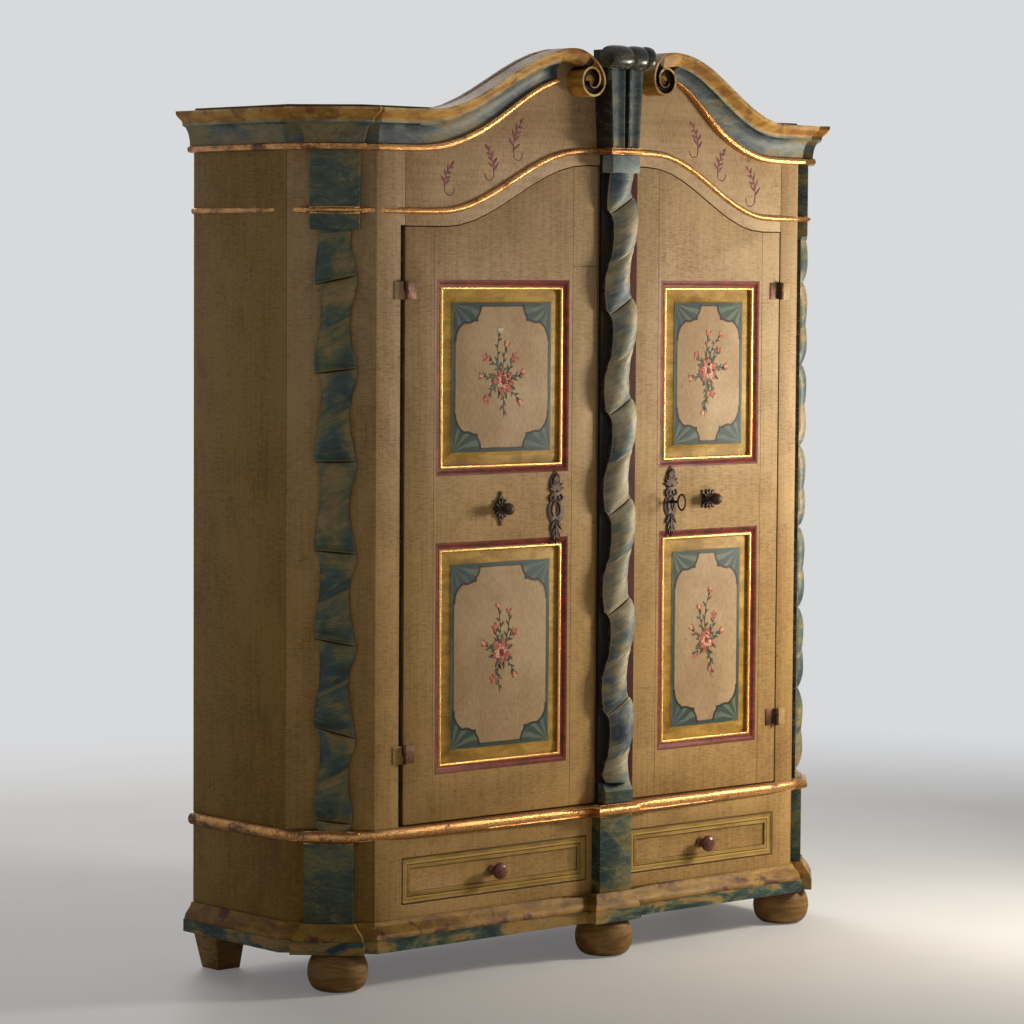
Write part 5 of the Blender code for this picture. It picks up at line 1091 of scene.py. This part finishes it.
# %% Carving a twist
def make_twist(name, form, finish, origin, across, out):
    """A grid is drawn out into a slab, and its rows and columns are moved into the lobes."""
    heights = twist_levels(form)
    rows = len(heights) - 1
    bpy.ops.mesh.primitive_grid_add(x_subdivisions=TWIST_COLUMNS, y_subdivisions=rows, size=1,
                                    calc_uvs=False)
    piece = bpy.context.active_object
    piece.name = name
    edit_all(piece)
    bpy.ops.mesh.extrude_region_move(TRANSFORM_OT_translate={"value": (0, 0, 1)})
    leave_edit()
    spots = []
    for point in piece.data.vertices:
        share, row = point.co.x * 2, round((point.co.y + 0.5) * rows)
        u, depth, z = twist_place(share, heights[row], form)
        spots.append(((share + 1) / 2, 2 * (heights[row] - form["level"]) / form["pitch"]))
        place = origin + across * u + out * (depth if point.co.z > 0.5 else 0)
        point.co = (place.x, place.y, z)
    layer = piece.data.uv_layers.new(name="twist")
    for corner in piece.data.loops:
        layer.data[corner.index].uv = spots[corner.vertex_index]
    face_outwards(piece)
    # The two side walls of the slab get the near-black marbling: painted shade beside the twist.
    paint_faces(piece, (finish, night_marble))
    for face in piece.data.polygons:
        columns = [spots[index][0] for index in face.vertices]
        face.material_index = 1 if max(columns) < 1e-4 or min(columns) > 1 - 1e-4 else 0
    shade_smooth(piece, 40)
    return piece


def keep_part(piece, z, above):
    """Cut a piece at a height, close the cut and keep one part."""
    edit_all(piece)
    bpy.ops.mesh.bisect(plane_co=(0, 0, z), plane_no=(0, 0, 1), use_fill=True,
                        clear_inner=above, clear_outer=not above)
    leave_edit()
    return piece


# %% Pilasters on the corners
CANT_MIDDLE = (0.725, -0.1275)  # middle of the right cant, seen from above

for name, side in (("left", -1), ("right", 1)):
    node = f"pilaster_{name}"
    normal, along = Vector((side, -1)).normalized(), Vector((-side, -1)).normalized()
    origin = Vector((side * CANT_MIDDLE[0], CANT_MIDDLE[1])) + along * 0.009 + normal * 0.0003
    twist = make_twist(f"{name}_twist", CORNER_TWIST, corner_paint, origin,
                       Vector((-normal.y, normal.x)), normal)
    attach(twist, "case")
    capital = keep_part(copy_of(node, f"{name}_capital_block"), 1.6757, True)
    paint_faces(capital, (block_marble,))
    soften_board(capital, 0.0015)
    hand_over(capital, node)
print("corner pilasters finished")

# %% [markdown]
# ## The middle pilaster
# It is fixed to the right door and covers the meeting line. Its twist stands on a batten,
# between a flared base and a square block with a nail hole. The batten is oxblood on the
# right, and on the left it is painted black as painted shade from the twist.

# %% Middle pilaster
BATTEN_FACE = -0.2058
CENTRE_CUTS = (0.4051, 1.8145)  # the base ends below the first, the capital starts at the second

twist = make_twist("centre_twist", CENTRE_TWIST, centre_paint, Vector((0.0585, BATTEN_FACE)),
                   Vector((1, 0)), Vector((0, -1)))
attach(twist, "right_door")
batten = add_box((0.0055, BATTEN_FACE, 0.4053), (0.117, -0.1958, 1.8143))
batten.name = "centre_batten"
bpy.ops.object.transform_apply(location=True, rotation=True, scale=True)
paint_faces(batten, (batten_paint,))
soften_board(batten, 0.0012)
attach(batten, "right_door")


def on_capital(middle, normal):
    return 1 if middle.y > -0.2062 or middle.x > 0.0915 else 0


base = keep_part(copy_of("pilaster_centre", "centre_base"), CENTRE_CUTS[0], False)
paint_faces(base, (block_marble, batten_paint), on_capital)
soften_board(base, 0.0012)
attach(base, "right_door")
capital = keep_part(copy_of("pilaster_centre", "centre_capital"), CENTRE_CUTS[1], True)
paint_faces(capital, (light_marble, batten_paint), on_capital)
soften_board(capital, 0.0012)
hand_over(capital, "pilaster_centre")
print("middle pilaster finished")

# %% [markdown]
# ## Feet
# Three flattened buns carry the front and two square tapered feet the back. They are bare
# wood, rubbed smooth.

# %% Feet
REAR_TOP, REAR_TOE = 0.043, 0.031  # half widths of a rear foot

for place in ("left", "centre", "right"):
    finish_carving(f"bun_foot_{place}", (foot_wood,), 1, 60)
for side in SIDES:
    node = f"rear_foot_{side}"
    low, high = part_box(node)
    bpy.ops.mesh.primitive_cube_add(size=1)
    foot = bpy.context.active_object
    foot.name = node + "_tapered"
    middle = (low + high) / 2
    outwards = 0.004 * (1 if middle.x > 0 else -1)
    for point in foot.data.vertices:
        on_top = point.co.z > 0
        width = REAR_TOP if on_top else REAR_TOE
        point.co.x = middle.x + width * 2 * point.co.x + (outwards if on_top else 0.0)
        point.co.y = middle.y + width * 2 * point.co.y
        point.co.z = high.z if on_top else low.z
    paint_faces(foot, (foot_wood,))
    soften_board(foot, 0.002)
    hand_over(foot, node)
print("feet finished")


# %% [markdown]
# ## Door leaves
# A leaf is painted on the front, and the moulding struck round each panel has a dusty red
# hollow and a gilded bead. The faces know how far they lie inside the panel's opening, so
# the colours are chosen by that distance.

# %% Leaves
def inside_of(place, span_x, span_z):
    return min(place.x - span_x[0], span_x[1] - place.x, place.z - span_z[0], span_z[1] - place.z)


def leaf_chooser(side):
    def choose(middle, normal):
        inset = max(inside_of(middle, PANELS_X[side], span_z) for span_z in PANELS_Z.values())
        if inset > 0 and middle.y < FRONT_Y + 0.0145:
            return 2 if inset < RED_WIDTH else 3
        return 0 if normal.y < -0.5 else 1
    return choose


for side in SIDES:
    finish_board(f"{side}_door_frame", (door_paint[side], inner_wood, red_paint, bright_gilt),
                 leaf_chooser(side), 0.0012)
print("leaves finished")

# %% [markdown]
# ## Fielded panels
# Each panel has a yellow bevel round a beige field. On the field the painter drew a thin
# blue-green border and a curled leaf in each corner, with a dark outline. Distances from
# the two nearest edges, a and b, are the same for all four corners, so one drawing in a
# and b paints them all.


# %% Field painting
def field_paint(name, span_x, span_z):
    finish = Finish(name)
    x, z = finish.axes(names="XZ")
    a = (x - span_x[0]).least(span_x[1] - x)
    b = (z - span_z[0]).least(span_z[1] - z)

    def gap(u, v):
        return ((a - u) * (a - u) + (b - v) * (b - v)).root()

    waver = (finish.noise((30, 30, 30), 3) - 0.5) * 0.004
    bulge = 0.040 - gap(0.045, 0.005)
    bay = gap(0.055, 0.085) - 0.045
    ledge = (0.074 - a).least(0.040 - b)
    leaf = bulge.most(ledge).most(bay.least((0.055 - a).least(0.085 - b))) + waver
    border = 0.0085 - a.least(b) + waver * 0.5
    painted = leaf.most(border)
    hair = finish.noise((190, 190, 70), 7, 0.65)
    cloud = finish.noise((9, 9, 6), 4, 0.6)
    fleck = finish.noise((170, 170, 130), 3, 0.6).rise(0.66, 0.72)
    tone = hair.rise(0.36, 0.66) * 0.5 + cloud.rise(0.35, 0.65) * 0.5
    ground = finish.mix(tone, paint(186, 158, 122), paint(156, 126, 88))
    turn = finish.node("ShaderNodeMath", {"operation": "ARCTAN2"}, (b - 0.004, a - 0.004))
    fan = (turn * 13 + cloud * 9).sine().rise(-0.3, 0.8)
    green = finish.glaze(paint(62, 76, 70), (fan, paint(104, 114, 98)),
                         (cloud.rise(0.5, 0.62) * 0.6, paint(70, 84, 92)))
    outline = abs(painted).rise(0.0040, 0.0020) * leaf.rise(-0.006, -0.001)
    thin = abs(border).rise(0.0024, 0.0010) * leaf.rise(0.002, -0.002)
    colour = finish.glaze(ground, (painted.rise(-0.0004, 0.0006), green),
                          (outline * 0.9, paint(28, 26, 22)), (thin * 0.75, paint(40, 36, 28)),
                          (fleck * 0.5, paint(76, 56, 36)))
    return finish.coat(colour, 0.5 + tone * 0.12, hair * 0.5 + cloud * 0.2, 0.0008)


BEVEL_REACH = 0.0505


def panel_chooser(span_x, span_z):
    def choose(middle, normal):
        if normal.y > -0.3:
            return 2
        return 1 if inside_of(middle, span_x, span_z) > BEVEL_REACH else 0
    return choose


for side, span_x in PANELS_X.items():
    for level, span_z in PANELS_Z.items():
        node = f"{side}_door_panel_{level}"
        field_x = (span_x[0] + BEVEL_REACH, span_x[1] - BEVEL_REACH)
        field_z = (span_z[0] + BEVEL_REACH, span_z[1] - BEVEL_REACH)
        field = field_paint(f"{side}_{level}_field", field_x, field_z)
        finish_board(node, (yellow_paint, field, inner_wood), panel_chooser(span_x, span_z), 0.0006)
print("panels finished")

# %% [markdown]
# ## Brush marks
# The flowers were painted with a loaded round brush: each petal and leaf is one press of
# it, and each stalk is a row of light touches. The mark is modelled once, as a thin raised
# drop of paint with a pointed tip, and copied for every touch.

# %% One brush mark
PAINT_BODY = 0.0005


def make_mark():
    """A drop of paint of length 1 and width 1, pointed at +X, standing on z = 0."""
    bpy.ops.mesh.primitive_circle_add(vertices=14, radius=0.5, fill_type="NGON", location=(0, 0, 0))
    mark = bpy.context.active_object
    mark.name = "brush_mark"
    edit_all(mark)
    bpy.ops.mesh.extrude_region_move(TRANSFORM_OT_translate={"value": (0, 0, 0.6)})
    bpy.ops.mesh.inset(thickness=0.16, depth=0.4)
    leave_edit()
    face_outwards(mark)
    for point in mark.data.vertices:
        pull = (point.co.x + 0.5) ** 2
        point.co.y *= 1.15 - 0.75 * pull
    shade_smooth(mark, 50)
    return mark


brush_mark = make_mark()
print("brush mark has", len(brush_mark.data.polygons), "faces")


# %% [markdown]
# ## Flower colours
# Each colour is uneven, thin at the edges and thick in the middle, as tempera dries.

# %% Flower finishes
def flower_colour(name, pale, deep):
    finish = Finish(name)
    press = finish.noise((110, 110, 110), 4, 0.65)
    grain = finish.noise((170, 170, 9), 5, 0.6)
    colour = finish.glaze(pale, (press.rise(0.36, 0.62), deep),
                          (grain.rise(0.6, 0.7) * 0.35, paint(150, 124, 86)))
    return finish.coat(colour, 0.45 + grain * 0.2, press, 0.0004)


FLOWER_COLOURS = {
    "pink": flower_colour("petal_pink", paint(200, 118, 98), paint(160, 74, 60)),
    "red": flower_colour("petal_red", paint(168, 54, 46), paint(122, 30, 30)),
    "pale": flower_colour("petal_pale", paint(222, 184, 152), paint(196, 142, 114)),
    "white": flower_colour("petal_white", paint(212, 204, 174), paint(176, 164, 130)),
    "green": flower_colour("leaf_green", paint(92, 98, 62), paint(54, 64, 40)),
    "blue": flower_colour("leaf_blue", paint(86, 112, 104), paint(50, 74, 70)),
    "stalk": flower_colour("stalk_brown", paint(86, 66, 44), paint(52, 40, 28)),
    "plum": flower_colour("frieze_plum", paint(152, 92, 98), paint(118, 62, 72)),
}
print("flower colours:", sorted(FLOWER_COLOURS))


# %% Laying marks on a face
class Brush:
    """Lays brush marks on a plane that faces -Y and joins them into one piece."""

    def __init__(self, face_y, origin):
        self.face_y = face_y
        self.origin = origin
        self.marks = []

    def press(self, u, v, length, width, angle, colour, body=PAINT_BODY):
        """One mark with its blunt end at (u, v), metres from the origin, laid at an angle."""
        mark = brush_mark.copy()
        mark.data = brush_mark.data.copy()
        scene.collection.objects.link(mark)
        lift = 0.00004 * (len(self.marks) % 9)
        place = Matrix.Translation((self.origin[0] + u, self.face_y - lift, self.origin[1] + v))
        upright = Matrix.Rotation(math.pi / 2, 4, "X")
        turn = Matrix.Rotation(angle, 4, "Z")
        size = Matrix.Diagonal((length, width, body, 1))
        mark.data.transform(place @ upright @ turn @ size @ Matrix.Translation((0.5, 0, 0)))
        mark.data.materials.clear()
        mark.data.materials.append(FLOWER_COLOURS.get(colour) or colour)
        self.marks.append(mark)

    def stalk(self, start, end, bend, width, colour="stalk", steps=7):
        """A row of touches along a bent line; returns its points and headings."""
        middle = [(start[i] + end[i]) / 2 for i in (0, 1)]
        middle = (middle[0] - bend * (end[1] - start[1]), middle[1] + bend * (end[0] - start[0]))
        points = []
        for i in range(steps + 1):
            t = i / steps
            points.append([start[k] * (1 - t) ** 2 + middle[k] * 2 * t * (1 - t) + end[k] * t ** 2
                           for k in (0, 1)])
        path = []
        for first, last in zip(points, points[1:]):
            angle = math.atan2(last[1] - first[1], last[0] - first[0])
            length = math.dist(first, last) * 1.5
            self.press(*first, length, width, angle, colour)
            path.append((first, angle))
        return path

    def joined(self, name, body):
        bpy.ops.object.select_all(action="DESELECT")
        for mark in self.marks:
            mark.select_set(True)
        bpy.context.view_layer.objects.active = self.marks[0]
        bpy.ops.object.join()
        piece = bpy.context.active_object
        piece.name = name
        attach(piece, body)
        return piece


# %% [markdown]
# ## Flowers
# A rose is three rings of petals round a dark heart, a bud is three petals in a cup, and a
# star is five petals round a dot. Leaves sit in pairs along the stalks.


# %% Kinds of flower
def aside(u, v, angle, reach):
    """The point that lies a reach away from (u, v) at an angle."""
    return u + math.cos(angle) * reach, v + math.sin(angle) * reach


def rose(brush, u, v, size, luck):
    for count, reach, colour in ((9, 0.62, "pink"), (7, 0.40, "pale"), (5, 0.22, "red")):
        for i in range(count):
            angle = math.tau * i / count + luck.uniform(-0.2, 0.2)
            brush.press(*aside(u, v, angle, size * reach * 0.35), size * reach, size * 0.42,
                        angle + luck.uniform(-0.3, 0.3), colour)
    brush.press(u - size * 0.10, v, size * 0.2, size * 0.2, 0, "red", PAINT_BODY * 1.6)


def bud(brush, u, v, size, angle, colour="pink"):
    front = "pale" if colour == "pink" else colour
    for lean, tint in ((-0.55, colour), (0.55, colour), (0.0, front)):
        brush.press(u, v, size, size * 0.5, angle + lean, tint)
    brush.press(u, v, size * 0.45, size * 0.4, angle + math.pi, "green")


def star(brush, u, v, size, turn, colour="pink"):
    for i in range(5):
        brush.press(u, v, size * 0.55, size * 0.4, turn + math.tau * i / 5, colour)
    brush.press(u - size * 0.08, v, size * 0.16, size * 0.16, 0, "pale", PAINT_BODY * 1.5)


def leaves_along(brush, path, size, luck):
    for i, (place, angle) in enumerate(path[1:]):
        lean = (0.7 + luck.uniform(-0.2, 0.3)) * (1 if i % 2 else -1)
        colour = "blue" if luck.random() < 0.35 else "green"
        brush.press(*place, size * luck.uniform(0.7, 1.15), size * 0.36, angle + lean, colour)


# %% [markdown]
# ## Four bouquets
# Each panel has its own bunch, drawn from a list of where its blooms sit. The stalks all
# spring from the rose, so a list of blooms is enough to lay the whole bunch out.

# %% Bouquets on the panels
# Millimetres from the middle of the panel: the rose and its size, the foot of the bunch,
# and the kind, place and size of each bloom
BOUQUETS = {
    ("left", "upper"): {
        "rose": (4, -10, 42), "foot": (6, -86),
        "blooms": (("bud", -40, 40, 18), ("star", 38, 44, 24), ("white", -8, 98, 17),
                   ("star", -46, -50, 22), ("bud", 50, -52, 17), ("bud", 12, 66, 18),
                   ("bud", 56, 6, 15), ("bud", -56, 2, 15))},
    ("left", "lower"): {
        "rose": (2, 4, 40), "foot": (-2, -82),
        "blooms": (("star", -14, 60, 25), ("bud", 26, 90, 16), ("bud", -44, 22, 16),
                   ("star", 42, 48, 21), ("star", -20, -56, 25), ("bud", 40, -42, 17),
                   ("bud", -6, 104, 14))},
    ("right", "upper"): {
        "rose": (0, 6, 40), "foot": (-12, -90),
        "blooms": (("star", -38, 42, 23), ("star", 32, 54, 22), ("bud", -2, 88, 17),
                   ("bud", 50, 14, 16), ("bud", -52, -10, 16), ("star", 14, -48, 22),
                   ("bud", -14, -86, 17), ("bud", 34, 86, 14))},
    ("right", "lower"): {
        "rose": (2, -8, 38), "foot": (18, -92),
        "blooms": (("bud", 10, 104, 15), ("bud", -22, 66, 16), ("star", 26, 52, 20),
                   ("bud", -44, 20, 15), ("bud", 46, 10, 15), ("star", -34, -40, 19),
                   ("bud", 16, -70, 16))},
}


def paint_bouquet(side, level, plan):
    luck = random.Random(f"{side} {level}")
    span_x, span_z = PANELS_X[side], PANELS_Z[level]
    middle = (sum(span_x) / 2, sum(span_z) / 2)
    field_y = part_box(f"{side}_door_panel_{level}")[0].y
    brush = Brush(field_y + PAINT_BODY * 0.3, middle)
    *heart, heart_size = [measure / 1000 for measure in plan["rose"]]
    foot = [measure / 1000 for measure in plan["foot"]]
    path = brush.stalk(heart, foot, luck.uniform(-0.15, 0.15), 0.0022)
    leaves_along(brush, path, 0.017, luck)
    for kind, *measures in plan["blooms"]:
        u, v, size = [measure / 1000 for measure in measures]
        path = brush.stalk(heart, (u, v), luck.uniform(-0.25, 0.25), 0.0018)
        leaves_along(brush, path[1:], 0.015, luck)
        heading = path[-1][1]
        if kind == "star":
            star(brush, u, v, size, heading)
        else:
            bud(brush, u, v, size, heading, "white" if kind == "white" else "pink")
    for i in range(8):
        angle = math.tau * (i + 0.4) / 8
        brush.press(*aside(*heart, angle, heart_size * 0.5), 0.020, 0.008,
                    angle + luck.uniform(-0.3, 0.3), luck.choice(("green", "blue", "green")))
    rose(brush, *heart, heart_size, luck)
    return brush.joined(f"{side}_{level}_bouquet", source_body(f"{side}_door_frame"))


for (side, level), plan in BOUQUETS.items():
    piece = paint_bouquet(side, level, plan)
    print(piece.name, "has", len(piece.data.polygons), "faces")

# %% [markdown]
# ## Sprigs on the frieze
# On the frieze six small flourishes in plum stand where the photograph has its painted
# signs, three on each side. Each is a curled stalk with a few leaves, of the same size and
# colour.

# %% Frieze sprigs
SPRIGS = [(-0.450, 1.792, 0.060, 0.9), (-0.328, 1.828, 0.066, -0.8), (-0.247, 1.880, 0.078, 0.8),
          (0.307, 1.896, 0.070, -0.8), (0.395, 1.840, 0.062, 0.8), (0.496, 1.791, 0.078, -0.9)]
sprig_luck = random.Random("frieze")
frieze_brush = Brush(FRONT_Y + PAINT_BODY * 0.3, (0, 0))
for x, z, height, curl in SPRIGS:
    foot, head = (x - curl * 0.012, z - height / 2), (x + curl * 0.010, z + height / 2)
    path = frieze_brush.stalk(foot, head, 0.30 * curl, 0.0036, "plum", 9)
    for i, (place, angle) in enumerate(path[2:]):
        lean = (0.8 if i % 2 else -0.8) + sprig_luck.uniform(-0.2, 0.2)
        frieze_brush.press(*place, height * (0.34 - 0.025 * i), 0.0062, angle + lean, "plum")
    frieze_brush.stalk(foot, (x + curl * 0.020, z - height * 0.36), -0.9 * curl, 0.003, "plum", 6)
    frieze_brush.press(*head, height * 0.2, 0.008, path[-1][1], "plum")
frieze_brush.joined("frieze_sprigs", "case")
print("frieze sprigs:", len(SPRIGS))


# %% [markdown]
# ## Drawers
# The fronts are framed like little panels: a yellow border with a groove on each side of
# it and a beige field. The boxes behind are bare wood.

# %% Drawers and their knobs
def drawer_paint(name, low, high):
    """The yellow border of a drawer, with a bright line in it, and painted shade in the grooves
    beside it and along the drawer's edge.
    """
    finish = Finish(name)
    x, z = finish.axes(names="XZ")
    inset = (x - low.x).least(high.x - x).least((z - low.z).least(high.z - z))
    stroke = finish.noise((14, 14, 30), 6, 0.65)
    hair = finish.noise((170, 170, 170), 4, 0.65)
    line = abs(inset - 0.0125).rise(0.0022, 0.0012)
    # The grooves and the drawer's outer edge are darkened as painted shade.
    groove = abs(inset - 0.0155).rise(0.0014, 0.0005).most(abs(inset - 0.0262).rise(0.0016, 0.0007))
    groove = groove.most(inset.rise(0.0030, 0.0018))
    colour = finish.glaze(paint(176, 144, 78), (stroke.rise(0.36, 0.64), paint(150, 118, 58)),
                          (line * 0.7, paint(204, 166, 80)), (groove * 0.8, paint(62, 44, 22)),
                          (hair.rise(0.62, 0.7) * 0.5, paint(84, 62, 36)))
    return finish.coat(colour, 0.48 + hair * 0.2, hair * 0.4 - groove * 2 + line, 0.0012)


BORDER_WIDTH = 0.0275


def drawer_chooser(node):
    low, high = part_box(node)

    def choose(middle, normal):
        if normal.y > -0.3 or middle.y > low.y + 0.010:
            return 2
        inset = inside_of(middle, (low.x, high.x), (low.z, high.z))
        return 0 if inset < BORDER_WIDTH else 1
    return choose


for side in SIDES:
    node = f"{side}_drawer"
    border = drawer_paint(f"{node}_border", *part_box(node))
    finish_board(node, (border, body_paint, inner_wood), drawer_chooser(node), 0.0008)
    knob = copy_of(node + "_knob")
    paint_faces(knob, (knob_wood,))
    round_carving(knob, 2, 60)
    low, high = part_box(node + "_knob")
    middle = (low + high) / 2
    for point in knob.data.vertices:
        swell = 1 + 0.2 * ease(min(max((middle.y + 0.004 - point.co.y) / 0.008, 0), 1))
        point.co.x = middle.x + (point.co.x - middle.x) * swell
        point.co.z = middle.z + (point.co.z - middle.z) * swell
    hand_over(knob, node + "_knob")
print("drawers finished")

# %% [markdown]
# ## Hinges, locks and bolts
# Small forged pieces get a hair of rounding, so that their edges catch the light.

# %% Ironwork
PLAIN_IRON = ["lock_case", "lock_bolt", "lock_keeper", "door_bolt", "bolt_sleeve"]
PLAIN_IRON += [f"{side}_door_hinge_{level}" for side in SIDES for level in LEVELS]
KNUCKLE_REACH = 0.0062  # bare iron round a hinge's pin; the rest of its leaf is painted over

for node in PLAIN_IRON:
    finish_board(node, (rusty_iron,), None, 0.0004)
for side, pin_x in (("left", -0.573), ("right", 0.597)):
    for level in LEVELS:
        finish_board(f"{side}_frame_hinge_{level}", (rusty_iron, body_paint),
                     lambda middle, normal: 1 if abs(middle.x - pin_x) > KNUCKLE_REACH else 0,
                     0.0004)
finish_carving("key", (iron,), 1, 50)
print("plain ironwork:", len(PLAIN_IRON))


# %% [markdown]
# ## Scutcheons and pulls
# The keyhole plates were chased with leaves: a fan at the top, a scroll at each shoulder, a
# raised ring round the keyhole and a leafy tail. The same mark that paints a petal, made
# thicker, is a chased leaf. Each knob sits on a plate with a rosette of such leaves.

# %% Chased leaves
UP = math.pi / 2
# Each fan: leaves on a side, angle between them, height above the keyhole, and their length,
# width and thickness
FANS = ((3, 0.40, 0.036, 0.034, 0.009, 0.0028), (2, 0.30, 0.054, 0.026, 0.006, 0.0032))
# Each pair of the tail: place, length, width, lean and thickness
TAIL = ((0.004, -0.030, 0.026, 0.008, 0.55, 0.0026), (0.003, -0.046, 0.024, 0.007, 0.42, 0.0024),
        (0.002, -0.058, 0.020, 0.006, 0.30, 0.0024))


def chase_scutcheon(side):
    node = f"{side}_escutcheon"
    finish_board(node, (iron,), None, 0.0006)
    low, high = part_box(node)
    width = (high.x - low.x) / 0.052
    brush = Brush(low.y + 0.0004, KEYHOLES[side])
    for count, spread, v, length, breadth, body in FANS:
        for i in range(-count, count + 1):
            brush.press(0, v, length - abs(i) * 0.003, breadth, UP + i * spread, iron, body)
    for turn in (-1, 1):
        for i in range(7):
            angle = UP - turn * i * 0.75
            brush.press(*aside(turn * 0.013 * width, 0.022, angle, 0.005), 0.006, 0.004,
                        angle - turn * 1.4, iron, 0.0026)
        for i in range(8):
            angle = turn * (0.35 + i * 0.33) - UP
            brush.press(math.cos(angle) * 0.011 * width, math.sin(angle) * 0.017 - 0.004,
                        0.0085, 0.0035, angle + turn * 1.45, iron, 0.0022)
        for u, v, length, breadth, lean, body in TAIL:
            brush.press(turn * u, v, length, breadth, turn * lean - UP, iron, body)
    brush.press(0, -0.026, 0.056, 0.007, -UP, iron, 0.0032)
    return brush.joined(f"{side}_scutcheon_chasing", source_body(node))


def chase_pull(side):
    node = f"{side}_door_pull"
    finish_carving(node, (iron,), 1, 42)
    brush = Brush(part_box(node)[1].y - 0.0042, KNOBS[side])
    for i in range(12):
        angle = math.tau * i / 12
        brush.press(*aside(0, 0, angle, 0.010), 0.014, 0.0066, angle, iron, 0.0034)
    return brush.joined(f"{side}_pull_rosette", source_body(node))


for side in SIDES:
    print(chase_scutcheon(side).name, chase_pull(side).name)

# %% Put the brush mark away
bpy.data.objects.remove(brush_mark)
